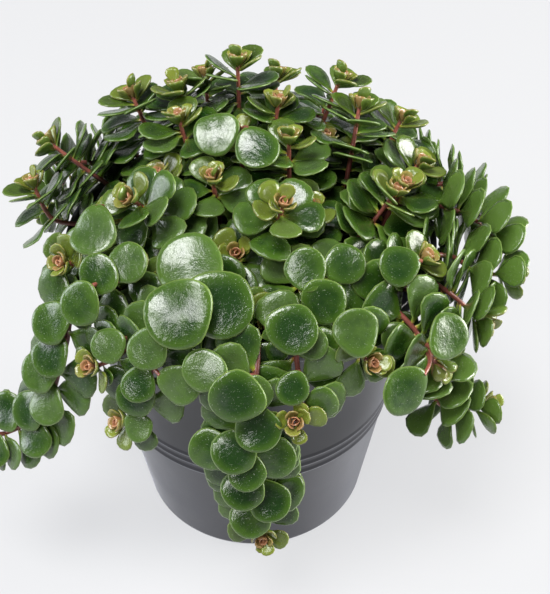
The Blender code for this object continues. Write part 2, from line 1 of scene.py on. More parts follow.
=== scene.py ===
"""Looks of a potted trailing sedum: its ringed pot, its peat and every leafy shoot, round the CAD frame.

Lengths are metres unless a name or comment says millimetres. +Z is up and the front is -Y. The shoots
grow here by the same rules as in the frame, so each stem and leaf has the frame's place and turn, and
gets the real one's form: a smooth stem, fleshy leaves with a thin margin, and a rosette at its tip.
"""

import itertools
import json
import logging
import math
from collections.abc import Callable
from dataclasses import dataclass, field
from enum import Enum

import bmesh
import bpy
import numpy as np
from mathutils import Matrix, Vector
from mathutils.bvhtree import BVHTree

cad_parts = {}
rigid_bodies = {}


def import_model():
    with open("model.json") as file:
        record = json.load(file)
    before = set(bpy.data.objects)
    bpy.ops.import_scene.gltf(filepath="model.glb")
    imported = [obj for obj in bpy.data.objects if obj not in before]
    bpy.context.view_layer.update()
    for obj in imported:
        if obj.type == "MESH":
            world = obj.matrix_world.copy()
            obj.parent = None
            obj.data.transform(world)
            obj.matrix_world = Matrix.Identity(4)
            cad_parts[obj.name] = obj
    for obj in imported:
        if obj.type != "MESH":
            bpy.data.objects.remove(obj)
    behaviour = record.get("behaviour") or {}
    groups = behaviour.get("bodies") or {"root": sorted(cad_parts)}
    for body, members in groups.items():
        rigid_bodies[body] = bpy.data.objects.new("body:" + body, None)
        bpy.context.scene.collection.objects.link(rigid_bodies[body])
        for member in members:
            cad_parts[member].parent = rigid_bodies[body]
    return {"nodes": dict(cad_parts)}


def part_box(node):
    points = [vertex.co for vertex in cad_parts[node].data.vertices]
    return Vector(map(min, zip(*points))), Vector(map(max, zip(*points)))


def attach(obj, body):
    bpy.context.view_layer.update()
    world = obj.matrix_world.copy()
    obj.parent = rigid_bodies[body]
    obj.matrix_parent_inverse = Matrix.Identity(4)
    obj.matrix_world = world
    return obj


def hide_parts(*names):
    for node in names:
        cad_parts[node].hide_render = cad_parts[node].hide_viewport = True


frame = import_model()

MM = 0.001
log = logging.getLogger("sedum")


# ---------------------------------------------------------------- nodes, colours and meshes


def add_node(tree: bpy.types.NodeTree, kind: str, inputs: dict | None = None, **settings) -> bpy.types.Node:
    """Adds a node with its settings and links.

    Args:
        tree: The node tree.
        kind: The node's type.
        inputs: A value or an output to link, for each input by its name or place.
        settings: The node's own properties.

    Returns:
        The node.
    """
    node = tree.nodes.new(kind)
    for name, value in settings.items():
        setattr(node, name, value)
    connect(tree, node, inputs or {})
    return node


def connect(tree: bpy.types.NodeTree, node: bpy.types.Node, inputs: dict) -> None:
    """Links an output or sets a value at each of a node's inputs.

    Args:
        tree: The node tree.
        node: The node.
        inputs: A value or an output to link, for each input by its name or place.
    """
    for place, value in inputs.items():
        if isinstance(value, bpy.types.NodeSocket):
            tree.links.new(value, node.inputs[place])
        else:
            node.inputs[place].default_value = value


def linear(colour: str) -> tuple[float, float, float, float]:
    """The linear RGBA of an sRGB hex colour such as #2f5a2c.

    Args:
        colour: The colour.

    Returns:
        Its red, green, blue and alpha.
    """
    shares = [int(colour[at : at + 2], 16) / 255 for at in (1, 3, 5)]
    red, green, blue = (s / 12.92 if s <= 0.04045 else ((s + 0.055) / 1.055) ** 2.4 for s in shares)
    return (red, green, blue, 1.0)


def new_material(name: str) -> tuple[bpy.types.Material, bpy.types.NodeTree, bpy.types.Node]:
    """A material with its tree and its Principled shader.

    Args:
        name: What the finish is.

    Returns:
        The material, its node tree and its shader.
    """
    material = bpy.data.materials.new(name)
    material.use_nodes = True
    return material, material.node_tree, material.node_tree.nodes["Principled BSDF"]


def new_tree(name: str, inputs: dict[str, str]) -> tuple[bpy.types.NodeTree, bpy.types.bpy_prop_collection]:
    """A Geometry Nodes tree that takes a geometry and named inputs, and gives a geometry.

    Args:
        name: The tree's name.
        inputs: The kind of each input, by its name.

    Returns:
        The tree and its inputs' sockets.
    """
    tree = bpy.data.node_groups.new(name, "GeometryNodeTree")
    for label, kind in {"Geometry": "Geometry", **inputs}.items():
        tree.interface.new_socket(label, in_out="INPUT", socket_type=f"NodeSocket{kind}")
    tree.interface.new_socket("Geometry", in_out="OUTPUT", socket_type="NodeSocketGeometry")
    return tree, add_node(tree, "NodeGroupInput").outputs


def add_object(name: str, vertices: np.ndarray, faces: list, edges: list | None = None) -> bpy.types.Object:
    """A mesh object at the origin, shaded smooth.

    Args:
        name: The object's name.
        vertices: Its points.
        faces: Its faces, as tuples of places in vertices.
        edges: Its loose edges, where it is a line.

    Returns:
        The object.
    """
    mesh = bpy.data.meshes.new(name)
    mesh.from_pydata(vertices.tolist(), edges or [], faces)
    mesh.shade_smooth()
    created = bpy.data.objects.new(name, mesh)
    bpy.context.scene.collection.objects.link(created)
    return created


def add_values(mesh: bpy.types.Mesh, name: str, kind: str, values: np.ndarray) -> None:
    """Stores one value a point as a named attribute.

    Args:
        mesh: The mesh.
        name: The attribute's name.
        kind: FLOAT, INT, BOOLEAN or FLOAT_VECTOR.
        values: A value for each point.
    """
    attribute = mesh.attributes.new(name, kind, "POINT")
    attribute.data.foreach_set("vector" if kind == "FLOAT_VECTOR" else "value", np.ravel(values))


def settle(item: bpy.types.Object) -> None:
    """Turns what an object's modifiers make into its own mesh.

    Args:
        item: The object.
    """
    graph = bpy.context.evaluated_depsgraph_get()
    item.data = bpy.data.meshes.new_from_object(item.evaluated_get(graph))
    item.modifiers.clear()


def set_inputs(modifier: bpy.types.Modifier, values: dict) -> None:
    """Sets a Geometry Nodes modifier's named inputs, through each socket's identifier.

    Args:
        modifier: The modifier.
        values: A value for each input's name.
    """
    for socket in modifier.node_group.interface.items_tree:
        if socket.item_type == "SOCKET" and socket.in_out == "INPUT" and socket.name in values:
            modifier[socket.identifier] = values[socket.name]


def unit(vector: np.ndarray) -> np.ndarray:
    """The vector at length one."""
    return vector / np.linalg.norm(vector)


# ---------------------------------------------------------------- how the plant grows

# The frame's own growth sizes. A leaf that would meet another part turns, lifts or stays smaller.
SOIL_BELOW_RIM = 0.011
SOIL_CROWN = 0.0015
STEM_BASE_RADIUS = 0.0014
STEM_TIP_RADIUS = 0.0009
STEM_SIDES = 5
STEM_STEP = 0.011  # between a stem's rings
CURVE_STEPS = 12
PLANTED_DEPTH = 0.006
NECK_HEIGHT = 0.003
BUD_RINGS = ((0.0036, 0.0010), (0.0018, 0.0018), (0.0, 0.0007))  # below the tip, and the radius there
GOLDEN_ANGLE = 137.5
BUD_CLEAR = 0.0026  # from the tip to the youngest leaf
FIRST_LEAF_GAP = 0.7  # from that leaf to the next along the stem, in millimetres
LEAF_GAP_GROWTH = 0.42  # how much longer each gap after it is, in millimetres
RISE_STATION = 0.45  # where on its length a leaf has gained its rise
GUARD_STATIONS = (0.0, 0.22, 0.5, 0.75, 0.92, 1.0)  # shares of a leaf's length
PETIOLE_SHARE = 0.12
PETIOLE_HALF_WIDTH = 0.0006
LEAF_THICKNESS = 0.0012
LEAF_GAP = 0.0004
OWN_LEAF_GAP = 0.0001  # to the leaves of the same shoot
STEM_SWINGS = (0, 3, -3, 6, -6, 9, -9, 12, -12, 16, -16)  # degrees that a stem's root may move
STEM_RISES = (0, 1.5, 3, 4.5, 6)  # millimetres that its middle may lift
YOUNG_PITCH = 60.0  # how much more the youngest leaf leans to the tip, in degrees
OLD_PITCH = 6.0
# the sizes, the lifts and the turns aside that a leaf tries
GROWN_TRIES = (
    (1.0, 0.9, 0.8, 0.7),
    (0, 14, -14, 28, -28, 42),
    (0, 14, -14, 28, -28, 44, -44, 60, -60),
)
YOUTH_LEAVES = 2.5  # how fast the leaves grow up, counted down from the bud
PITCH_LEAVES = 3.0  # how fast they lean out
YOUNG_SHORTER = 0.56  # how much shorter the youngest leaf is
# a leaf's width over its length, its wedge, its cup and its droop: when old, and what youth adds
PROPORTIONS = ((0.90, -0.20), (0.20, 0.45), (-0.10, 0.30), (0.15, -0.28))
BROAD_WEDGE = 0.08
BROAD_CUP = -0.06
BROAD_PAST_MIDDLE = 0.46  # from a broad blade's middle to its tip, in widths
# how a blade that turns to the light faces: to the window and up, outwards, and its tip raised
WINDOW = (0.0, -0.45, 0.75)
OUTWARD_TO_LIGHT = 0.5
RISE_TO_LIGHT = 0.8

# The leaves that fill the room the frame's leaves left: nearer together, and smaller at need.
FILL_GAP = 0.0001
FILL_FIRST = 0.001
FILL_STEP = 0.0021
FILL_TRIES = ((1.0, 0.85, 0.7, 0.55), (0, 18, -18), (0, 25, -25, 50, -50))
FILL_TURN = 68.75
MOST_PIECES = 8000

# The round leaves that lie over the stems that hang where the light falls.
COVER_LIGHT = 0.5
COVER_FIRST = 0.009
COVER_STEP = 0.0088
COVER_SIZES = (0.95, 0.8, 0.68)  # widths, in lengths of the shoot's largest leaf
COVER_RISES = (2.6, 3.4, 4.4, 5.6)  # heights above the stem, in millimetres
COVER_TURNS = (30, 12, 50, -10, 70)  # turns away from the stem, in degrees
COVER_LENGTH = 0.95  # length, in widths
COVER_SIDES = 12
BLADE_SWELL = 1.03  # how far a broad blade fills the clearance round it
BLADE_DEPTH = 0.09  # how deep a broad blade and its gap are, in widths
ROSETTE_REACH = 0.0042
ROSETTE_BOX = 0.6  # half the width of the box that stands for a rosette, in reaches
# the faces of a box whose corners come in the order of their x, y and z
BOX_FACES = [(0, 1, 3, 2), (4, 6, 7, 5), (0, 4, 5, 1), (2, 3, 7, 6), (0, 2, 6, 4), (1, 5, 7, 3)]
BROAD_BOWL = 0.36  # how far a broad blade's sides drop, over its width, for its place across squared

POT_HEIGHT = 0.115
POT_RIM_RADIUS = 0.058
POT_BASE_RADIUS = 0.0425
POT_TAPER = 0.0155 / POT_HEIGHT  # how much the radius grows over the height

Solid = tuple[np.ndarray, list]


def polar(azimuth: float, radius: float, height: float) -> np.ndarray:
    """A point in metres from degrees and millimetres."""
    angle = math.radians(azimuth)
    return np.array([radius * math.cos(angle), radius * math.sin(angle), height]) * MM


def soil_top(radius: float) -> float:
    """Height of the soil's surface at a radius."""
    return POT_HEIGHT - SOIL_BELOW_RIM + SOIL_CROWN * max(0.0, 1 - radius / POT_RIM_RADIUS)


def lengths_along(points: np.ndarray) -> np.ndarray:
    """Distance of each point from the first, along the line."""
    return np.concatenate([[0], np.cumsum(np.linalg.norm(np.diff(points, axis=0), axis=1))])


def frames_along(points: np.ndarray) -> tuple[np.ndarray, np.ndarray]:
    """A tangent and a steady sideways direction at each point of a line.

    Args:
        points: The line's points.

    Returns:
        The tangents and the sideways directions.
    """
    tangents = np.gradient(points, axis=0)
    tangents /= np.linalg.norm(tangents, axis=1)[:, None]
    side = unit(np.cross(tangents[0], [0.31, 0.95, 0.0]))
    sides = []
    for tangent in tangents:
        side = unit(side - tangent * (side @ tangent))
        sides.append(side)
    return tangents, np.array(sides)


def ringed(corners: int, sides: int) -> list:
    """Faces of a closed skin over rings of corners, ring after ring.

    Args:
        corners: How many corners there are in all.
        sides: How many are in a ring.

    Returns:
        The faces.
    """
    faces = [tuple(range(sides))[::-1]]
    for low in range(0, corners - sides, sides):
        for corner in range(sides):
            after = (corner + 1) % sides
            faces.append((low + corner, low + after, low + sides + after, low + sides + corner))
    faces.append(tuple(range(corners - sides, corners)))
    return faces


def blade_share(t: float, wedge: float) -> float:
    """Half width of a blade at a share of its length, as a share of its widest.

    Args:
        t: The share of its length.
        wedge: 0 for a round blade, 1 for a spoon with a long wedge.

    Returns:
        The share of its widest.
    """
    t = min(max((t - PETIOLE_SHARE) / (1 - PETIOLE_SHARE), 0.0), 1.0)
    widest = (0.5 + wedge) / (1 + wedge)
    peak = widest ** (0.5 + wedge) * (1 - widest) ** 0.5
    return t ** (0.5 + wedge) * (1 - t) ** 0.5 / peak


@dataclass(frozen=True)
class Shoot:
    """One shoot. Places are polar about the pot's axis: degrees from +X, then millimetres."""

    name: str
    root: tuple  # azimuth, radius on the soil
    path: tuple  # azimuth, radius, height above the pot's underside, up to the tip
    leaves: int
    leaf: float  # length of its largest leaf, in millimetres
    turn: float  # azimuth of the youngest leaf about the stem, in degrees
    light: float  # how far the blades turn to the light, from 0 to 1
    spread: float = 1.0  # how far apart the leaves stand on the stem
    # leaves that stand out: azimuth, radius and height of the blade's middle, its width in
    # millimetres, and the azimuth and elevation that it faces
    broad: tuple = ()

    def curve(self, swing: float, rise: float) -> np.ndarray:
        """A smooth line along the stem, from its planted end to its tip.

        Args:
            swing: How far the root moves round the pot, in degrees.
            rise: How far the middle lifts over another stem, in millimetres.

        Returns:
            The line's points.
        """
        azimuth, radius = self.root
        surface = soil_top(radius * MM) / MM
        planted = surface - PLANTED_DEPTH / MM
        neck = surface + NECK_HEIGHT / MM
        knots = [polar(azimuth + swing, radius, planted), polar(azimuth + swing, radius, neck)]
        for index, (angle, reach, height) in enumerate(self.path):
            if index < len(self.path) - 1:
                angle += swing / (index + 2)
                height += rise
            knots.append(polar(angle, reach, height))
        curve = [knots[0]]
        padded = [2 * knots[0] - knots[1], *knots, 2 * knots[-1] - knots[-2]]
        for before, start, end, after in zip(padded, padded[1:], padded[2:], padded[3:]):
            for step in range(1, CURVE_STEPS + 1):
                t = step / CURVE_STEPS
                bend = (2 * before - 5 * start + 4 * end - after) * t * t
                twist = (3 * start - before - 3 * end + after) * t**3
                curve.append(0.5 * (2 * start + (end - before) * t + bend + twist))
        return np.array(curve)

    def below_tip(self, index: int) -> float:
        """Distance from the tip down to a leaf: crowded at the tip, then wider apart."""
        gaps = sum(FIRST_LEAF_GAP + LEAF_GAP_GROWTH * step for step in range(index))
        return BUD_CLEAR + self.spread * MM * gaps


SHOOTS = (
    # the crown, upright
    Shoot("crown_back", (100, 20), ((98, 30, 159),), 11, 15, 20, 0.1, 1.2),
    Shoot("crown_back_left", (118, 24), ((114, 38, 152),), 10, 15, 80, 0.2, 1.1),
    Shoot("crown_back_right", (58, 24), ((46, 42, 153),), 11, 15, 0, 0.15, 1.2),
    Shoot("crown_right", (16, 28), ((15, 32, 128), (25, 38, 151)), 11, 15, 60, 0.1, 1.4),
    Shoot("crown_middle", (345, 13), ((0, 12, 148),), 11, 15, 30, 0.2, 1.1),
    Shoot("crown_left", (166, 12), ((162, 23, 151),), 11, 16, 10, 0.35, 1.0),
    Shoot(
        "crown_centre", (220, 3), ((110, 8, 145),), 10, 16, 200, 0.5, 1.1,
        broad=((207, 11, 152, 14, 265, 50), (285, 10, 150, 14, 275, 60)),
    ),
    Shoot("crown_rear", (75, 10), ((60, 18, 152),), 11, 15, 130, 0.2, 1.1),
    Shoot("crown_front", (232, 13), ((234, 18, 143),), 11, 14, 45, 0.3, 1.0),
    Shoot("crown_front_right", (287, 18), ((288, 25, 128), (290, 30, 143)), 11, 15, 200, 0.3, 1.1),
    # low in the middle
    Shoot("inner_front", (262, 20), ((264, 32, 128),), 9, 15, 150, 0.5, 1.0),
    Shoot("inner_right", (322, 18), ((318, 24, 134),), 9, 15, 20, 0.4, 1.0),
    Shoot("inner_front_right", (302, 38), ((304, 46, 128),), 9, 14, 250, 0.5, 1.0),
    Shoot("inner_left", (186, 16), ((190, 28, 138),), 9, 15, 90, 0.4, 1.0),
    Shoot("inner_back", (38, 24), ((36, 30, 138),), 9, 15, 60, 0.2, 1.0),
    Shoot("right_inner", (350, 38), ((348, 48, 138),), 9, 15, 120, 0.3, 1.0),
    # behind
    Shoot("back_left_high", (148, 26), ((147, 46, 150),), 11, 16, 100, 0.2, 1.0),
    Shoot("back_left_top", (136, 16), ((136, 32, 154),), 10, 15, 250, 0.2, 1.1),
    Shoot("back_high", (82, 34), ((80, 50, 145),), 11, 16, 10, 0.3, 1.1),
    Shoot("back_right_high", (30, 42), ((30, 58, 139),), 11, 16, 70, 0.3, 1.1),
    Shoot("back_mid_left", (122, 40), ((121, 60, 134),), 11, 16, 160, 0.3, 1.1),
    Shoot(
        "back_trailer_left", (104, 44), ((104, 62, 124), (104, 74, 106), (105, 76, 82)),
        13, 15, 0, 0.5, 1.4,
    ),
    Shoot("back_trailer", (68, 44), ((68, 62, 124), (68, 75, 108), (66, 80, 88)), 13, 15, 40, 0.5, 1.4),
    Shoot(
        "back_left_low", (138, 45), ((138, 62, 123), (139, 73, 112), (140, 79, 98)),
        12, 15, 130, 0.5, 1.2,
    ),
    Shoot(
        "back_right_low", (50, 45), ((50, 62, 123), (50, 73, 116), (50, 79, 104)), 12, 15, 120, 0.4, 1.3,
    ),
    # the left side
    Shoot(
        "left_high", (164, 38), ((166, 48, 123), (167, 62, 133), (167, 67, 138)), 11, 14, 30, 0.15, 1.3,
    ),
    Shoot("left", (182, 42), ((183, 57, 119), (182, 65, 121), (180, 68, 132)), 11, 14, 190, 0.15, 1.4),
    Shoot("left_crown", (222, 22), ((219, 35, 135), (219, 43, 144)), 10, 14, 100, 0.2, 1.0),
    Shoot("left_low", (208, 44), ((212, 56, 122), (214, 64, 128)), 10, 14, 60, 0.4, 1.1),
    Shoot(
        "left_broad", (196, 28), ((206, 42, 132),), 10, 17, 140, 0.5, 1.1,
        broad=((220, 56, 139, 15, 240, 55),),
    ),
    Shoot(
        "left_front", (226, 40), ((229, 53, 127),), 9, 15, 80, 0.6, 1.0,
        broad=((231, 64, 135, 12, 250, 35), (230, 71, 128, 13, 245, 30), (237, 58, 138, 12, 250, 45)),
    ),
    Shoot(
        "left_trailer", (219, 45),
        ((221, 62, 123), (222, 73, 103), (217, 80, 79), (210, 91, 66), (207, 97, 61)),
        17, 14, 20, 0.75, 1.3,
    ),
    Shoot("left_skirt", (152, 45), ((153, 62, 123), (155, 74, 112), (157, 80, 98)), 11, 15, 0, 0.4, 1.3),
    # the front
    Shoot("front_left_inner", (240, 34), ((238, 50, 124),), 9, 13, 10, 0.5, 1.1),
    Shoot(
        "front_left_low", (238, 45), ((240, 61, 121), (239, 69, 111), (235, 70, 107), (234, 74, 110)),
        12, 13, 150, 0.6, 1.1,
    ),
    Shoot(
        "front_left_trailer", (247, 45), ((248, 62, 121), (246, 69, 103), (242, 70, 91), (240, 74, 92)),
        14, 13, 40, 0.7, 1.2,
        broad=((256, 72, 113, 12, 262, 28), (245, 74, 105, 12, 252, 28), (248, 71, 122, 12, 252, 35)),
    ),
    Shoot(
        "front_broad", (256, 32), ((257, 46, 122),), 9, 16, 215, 0.6, 1.0,
        broad=((255, 67, 133, 19, 262, 42), (264, 60, 132, 19, 276, 40), (252, 51, 138, 19, 262, 62)),
    ),
    Shoot(
        "front_trailer", (272, 45),
        (
            (273, 60, 119), (272, 69, 112), (270, 73, 98), (271, 71, 79), (273, 68, 60), (273, 69, 49),
            (273, 74, 50),
        ),
        18, 14, 10, 0.75, 1.2,
        broad=(
            (268, 78, 116, 15, 270, 25), (261, 72, 120, 12, 262, 40), (262, 76, 92, 13, 262, 25),
            (276, 77, 90, 13, 280, 25),
        ),
    ),
    Shoot(
        "front_middle", (276, 36), ((277, 53, 120),), 9, 14, 60, 0.6, 1.1,
        broad=((281, 67, 129, 14, 274, 42),),
    ),
    Shoot(
        "front_low", (282, 45), ((282, 60, 120), (282, 69, 110), (281, 72, 101), (280, 76, 104)),
        13, 14, 130, 0.7, 1.1,
    ),
    Shoot(
        "front_right_crown", (289, 32), ((292, 44, 126),), 9, 15, 20, 0.6, 1.1,
        broad=((288, 52, 137, 12, 270, 42), (301, 53, 135, 12, 280, 45), (291, 59, 129, 13, 275, 30)),
    ),
    Shoot(
        "front_right_low", (293, 45), ((296, 60, 120), (297, 67, 113), (298, 72, 115)),
        12, 14, 70, 0.6, 1.1,
        broad=((294, 71, 128, 13, 280, 35),),
    ),
    # the right side
    Shoot(
        "right_crown", (330, 28), ((338, 39, 125), (341, 43, 130), (343, 46, 138)), 11, 16, 200, 0.2, 1.3,
    ),
    Shoot(
        "right_front", (306, 28), ((311, 42, 117), (319, 54, 120), (325, 62, 130)), 12, 14, 0, 0.4, 1.5,
        broad=((313, 61, 134, 12, 290, 45),),
    ),
    Shoot(
        "right_trailer_high", (355, 30),
        ((355, 46, 125), (355, 57, 127), (355, 67, 124), (355, 75, 119), (356, 81, 114)),
        18, 15, 90, 0.0, 1.2,
    ),
    Shoot(
        "right_trailer", (337, 44), ((339, 61, 121), (342, 70, 115), (345, 77, 110), (348, 84, 109)),
        13, 14, 0, 0.1, 1.4,
    ),
    Shoot(
        "right_lobe", (324, 45), ((327, 62, 121), (330, 72, 113), (333, 79, 105)), 11, 15, 220, 0.4, 1.2,
    ),
    Shoot(
        "right_front_low", (308, 45), ((311, 61, 121), (314, 71, 112), (316, 76, 103)),
        12, 15, 75, 0.6, 1.2,
        broad=((303, 80, 107, 15, 300, 25), (316, 79, 117, 14, 305, 35)),
    ),
    Shoot(
        "right_low_trailer", (316, 44),
        ((319, 61, 121), (321, 69, 103), (322, 70, 85), (327, 75, 72), (331, 80, 70), (334, 86, 71)),
        17, 14, 100, 0.2, 1.4,
    ),
    Shoot("right_skirt", (12, 45), ((12, 62, 123), (12, 73, 116), (12, 80, 104)), 12, 15, 170, 0.4, 1.3),
    Shoot("right_back", (8, 36), ((6, 54, 136),), 11, 16, 50, 0.3, 1.1),
    Shoot("right_back_low", (31, 45), ((32, 62, 123), (33, 74, 112), (33, 78, 96)), 12, 15, 10, 0.5, 1.3),
)


@dataclass(frozen=True)
class Leaf:
    """A leaf's size. Lengths are metres, and the rest are shares of its length or half width."""

    length: float
    width: float
    wedge: float  # 0 is a round blade, 1 a spoon with a long wedge
    cup: float  # edges up if above 0
    droop: float  # tip down if above 0
    rise: float = 0.0  # height of the blade above its base, gained along its petiole

    def guard(self, first: int, gap: float) -> Solid:
        """The leaf's outline with a gap round it, to test what it meets.

        Args:
            first: The guard station it starts at.
            gap: The gap round it.

        Returns:
            Its points, with its base at the origin and the leaf along +Y, and its faces.
        """
        vertices = []
        for t in GUARD_STATIONS[first:]:
            share = blade_share(t, self.wedge)
            half = max(PETIOLE_HALF_WIDTH, self.width / 2 * share)
            middle = self.rise * min(1.0, t / RISE_STATION) - self.droop * self.length * t * t
            edge = middle + self.cup * half * share
            y = t * self.length + (gap if t == 1.0 else 0.0)
            top = max(middle, edge) + gap
            low = middle - LEAF_THICKNESS - gap
            outer = half + gap
            vertices += [(-outer, y, edge), (0.0, y, top), (outer, y, edge), (0.0, y, low)]
        return np.array(vertices), ringed(len(vertices), 4)


def proportions(youth: float) -> list[float]:
    """A leaf's width over its length, its wedge, its cup and its droop, by how young it is."""
    return [old + added * youth for old, added in PROPORTIONS]


@dataclass(frozen=True)
class GrownLeaf:
    """A leaf in its place on a shoot."""

    leaf: Leaf
    point: np.ndarray
    axes: np.ndarray  # rows: across, along and out of its upper side
    index: int  # places below the bud, or BROAD


BROAD = -1


def leaf_axes(along: np.ndarray, normal: np.ndarray) -> np.ndarray:
    """Axes of a leaf, as rows: across, along and out of its upper side."""
    along = unit(along - normal * (along @ normal))
    return np.array([np.cross(along, normal), along, normal])


def to_light(point: np.ndarray) -> np.ndarray:
    """The way that a blade at a point turns to the light: outwards, up and to the window."""
    return unit(np.array([point[0], point[1], 0.0]) / POT_RIM_RADIUS * OUTWARD_TO_LIGHT + WINDOW)


def spiral_axes(
    shoot: Shoot, point: np.ndarray, tangent: np.ndarray, side: np.ndarray, turn: float, pitch: float
) -> np.ndarray:
    """Axes of a leaf in a shoot's spiral.

    Args:
        shoot: The shoot.
        point: Where the leaf leaves the stem.
        tangent: The stem's direction there.
        side: The stem's sideways direction there.
        turn: The leaf's turn about the stem, in degrees.
        pitch: How far it leans to the stem's tip, in degrees.

    Returns:
        The axes, as rows.
    """
    angle = math.radians(turn)
    lean = math.radians(pitch)
    outward = math.cos(angle) * side + math.sin(angle) * np.cross(tangent, side)
    along = math.cos(lean) * outward + math.sin(lean) * tangent
    normal = math.cos(lean) * tangent - math.sin(lean) * outward
    reach = along + np.array([0.0, 0.0, RISE_TO_LIGHT * shoot.light])
    return leaf_axes(reach, unit((1 - shoot.light) * normal + shoot.light * to_light(point)))


@dataclass
class Garden:
    """Grows the shoots by the frame's rules, and holds what has grown so far."""

    gap: float = LEAF_GAP
    owners: list = field(default_factory=list)
    trees: list = field(default_factory=list)
    centres: np.ndarray = field(default_factory=lambda: np.zeros((MOST_PIECES, 3)))
    reaches: np.ndarray = field(default_factory=lambda: np.zeros(MOST_PIECES))

    def add(self, owner: str, vertices: np.ndarray, faces: list) -> None:
        """Records a piece with its search tree and bounding ball.

        Args:
            owner: What the piece is a part of.
            vertices: Its points.
            faces: Its faces.
        """
        centre = vertices.mean(axis=0)
        self.centres[len(self.owners)] = centre
        self.reaches[len(self.owners)] = np.linalg.norm(vertices - centre, axis=1).max()
        self.owners.append(owner)
        self.trees.append(BVHTree.FromPolygons(vertices.tolist(), faces))

    def meets(self, vertices: np.ndarray, faces: list, counts: Callable[[str], bool]) -> bool:
        """True if the piece would meet one that has grown and whose owner counts.

        Args:
            vertices: Its points.
            faces: Its faces.
            counts: Says whether an owner's pieces count.

        Returns:
            True if it would.
        """
        centre = vertices.mean(axis=0)
        reach = np.linalg.norm(vertices - centre, axis=1).max()
        count = len(self.owners)
        away = np.linalg.norm(self.centres[:count] - centre, axis=1)
        tree = None
        for index in np.nonzero(away < reach + self.reaches[:count])[0]:
            if counts(self.owners[index]):
                tree = tree or BVHTree.FromPolygons(vertices.tolist(), faces)
                if tree.overlap(self.trees[index]):
                    return True
        return False

    def lay_stem(self, shoot: Shoot) -> np.ndarray:
        """A stem's rings, moved as little as keeps it clear of the stems before it.

        Args:
            shoot: The shoot.

        Returns:
            The middle of each ring, from the planted end to the tip.
        """
        for rise, swing in itertools.product(STEM_RISES, STEM_SWINGS):
            curve = shoot.curve(swing, rise)
            along = lengths_along(curve)
            bud = BUD_RINGS[0][0]
            count = max(3, round((along[-1] - bud - PLANTED_DEPTH) / STEM_STEP))
            even = np.linspace(PLANTED_DEPTH, along[-1] - bud, count + 1)
            tip = [along[-1] - below for below, _ in BUD_RINGS[1:]]
            stations = np.concatenate([[0.0], even, tip])
            rings = np.stack([np.interp(stations, along, curve[:, axis]) for axis in range(3)], axis=1)
            vertices, faces = self.stem_guard(rings)
            if not self.meets(vertices, faces, lambda owner: owner != "soil"):
                self.add(shoot.name, vertices, faces)
                return rings
        raise ValueError(f"{shoot.name} has no clear way up")

    @staticmethod
    def stem_guard(rings: np.ndarray) -> Solid:
        """A plain tube round a stem's rings above the soil, a gap wider than the stem.

        Args:
            rings: The middle of each ring.

        Returns:
            The tube's points and faces.
        """
        count = len(rings)
        taper = np.linspace(STEM_BASE_RADIUS, STEM_TIP_RADIUS, count - len(BUD_RINGS) + 1)
        radii = [*taper[:-1], *(radius for _, radius in BUD_RINGS)]
        tangents, across = frames_along(rings[1:])
        vertices = []
        for point, tangent, side, radius in zip(rings[1:], tangents, across, radii[1:]):
            other = np.cross(tangent, side)
            for corner in range(STEM_SIDES):
                angle = 2 * math.pi * corner / STEM_SIDES
                spoke = math.cos(angle) * side + math.sin(angle) * other
                vertices.append(point + (radius + LEAF_GAP) * spoke)
        return np.array(vertices), ringed(len(vertices), STEM_SIDES)

    def set_leaf(self, shoot: Shoot, grown: GrownLeaf, own_station: int = 1) -> bool:
        """Records a leaf if there is room for it where it stands.

        Args:
            shoot: The shoot that it is on.
            grown: The leaf in its place.
            own_station: The guard station beyond which it may not meet its own shoot's leaves.

        Returns:
            True if it has room.
        """
        petioles = f"{shoot.name} petioles"
        whole, whole_faces = grown.leaf.guard(0, self.gap)
        whole = whole @ grown.axes + grown.point
        if self.meets(whole, whole_faces, lambda owner: owner not in (shoot.name, petioles)):
            return False
        blade, blade_faces = grown.leaf.guard(own_station, OWN_LEAF_GAP)
        if self.meets(blade @ grown.axes + grown.point, blade_faces, lambda owner: owner == shoot.name):
            return False
        kept, kept_faces = grown.leaf.guard(1, OWN_LEAF_GAP)
        self.add(shoot.name, kept @ grown.axes + grown.point, kept_faces)
        self.add(petioles, whole, whole_faces)
        return True

    def grow_broad_leaf(self, shoot: Shoot, rings: np.ndarray, broad: tuple) -> GrownLeaf:
        """One of the leaves that stand out: it reaches from the nearest stretch of stem to its place.

        Args:
            shoot: The shoot.
            rings: Its stem's rings.
            broad: The leaf's row in the shoot's table.

        Returns:
            The leaf in its place.
        """
        azimuth, radius, height, width, facing, tilt = broad
        middle = polar(azimuth, radius, height)
        along = lengths_along(rings)
        stretch = np.arange(PLANTED_DEPTH + NECK_HEIGHT, along[-1], MM)
        line = np.stack([np.interp(stretch, along, rings[:, axis]) for axis in range(3)], axis=1)
        point = line[np.argmin(np.linalg.norm(line - middle, axis=1))]
        normal = unit(polar(facing, math.cos(math.radians(tilt)), math.sin(math.radians(tilt))))
        axes = leaf_axes(middle - point, normal)
        _, reach, rise = axes @ (middle - point)
        length = reach + BROAD_PAST_MIDDLE * width * MM
        leaf = Leaf(length, width * MM, BROAD_WEDGE, BROAD_CUP, 0.0, rise)
        grown = GrownLeaf(leaf, point, axes, BROAD)
        if not self.set_leaf(shoot, grown, own_station=2):
            raise ValueError(f"{shoot.name} has no room for its leaf at {azimuth}, {radius}, {height}")
        return grown

    def grow_leaf(self, shoot: Shoot, rings: np.ndarray, index: int) -> GrownLeaf | None:
        """A shoot's next leaf, or None where there is no room for it.

        Args:
            shoot: The shoot.
            rings: Its stem's rings.
            index: The leaf's place below the bud.

        Returns:
            The leaf in its place, or None.
        """
        turn = shoot.turn + GOLDEN_ANGLE * index
        return self.fit_leaf(shoot, rings, shoot.below_tip(index), index, turn, GROWN_TRIES)

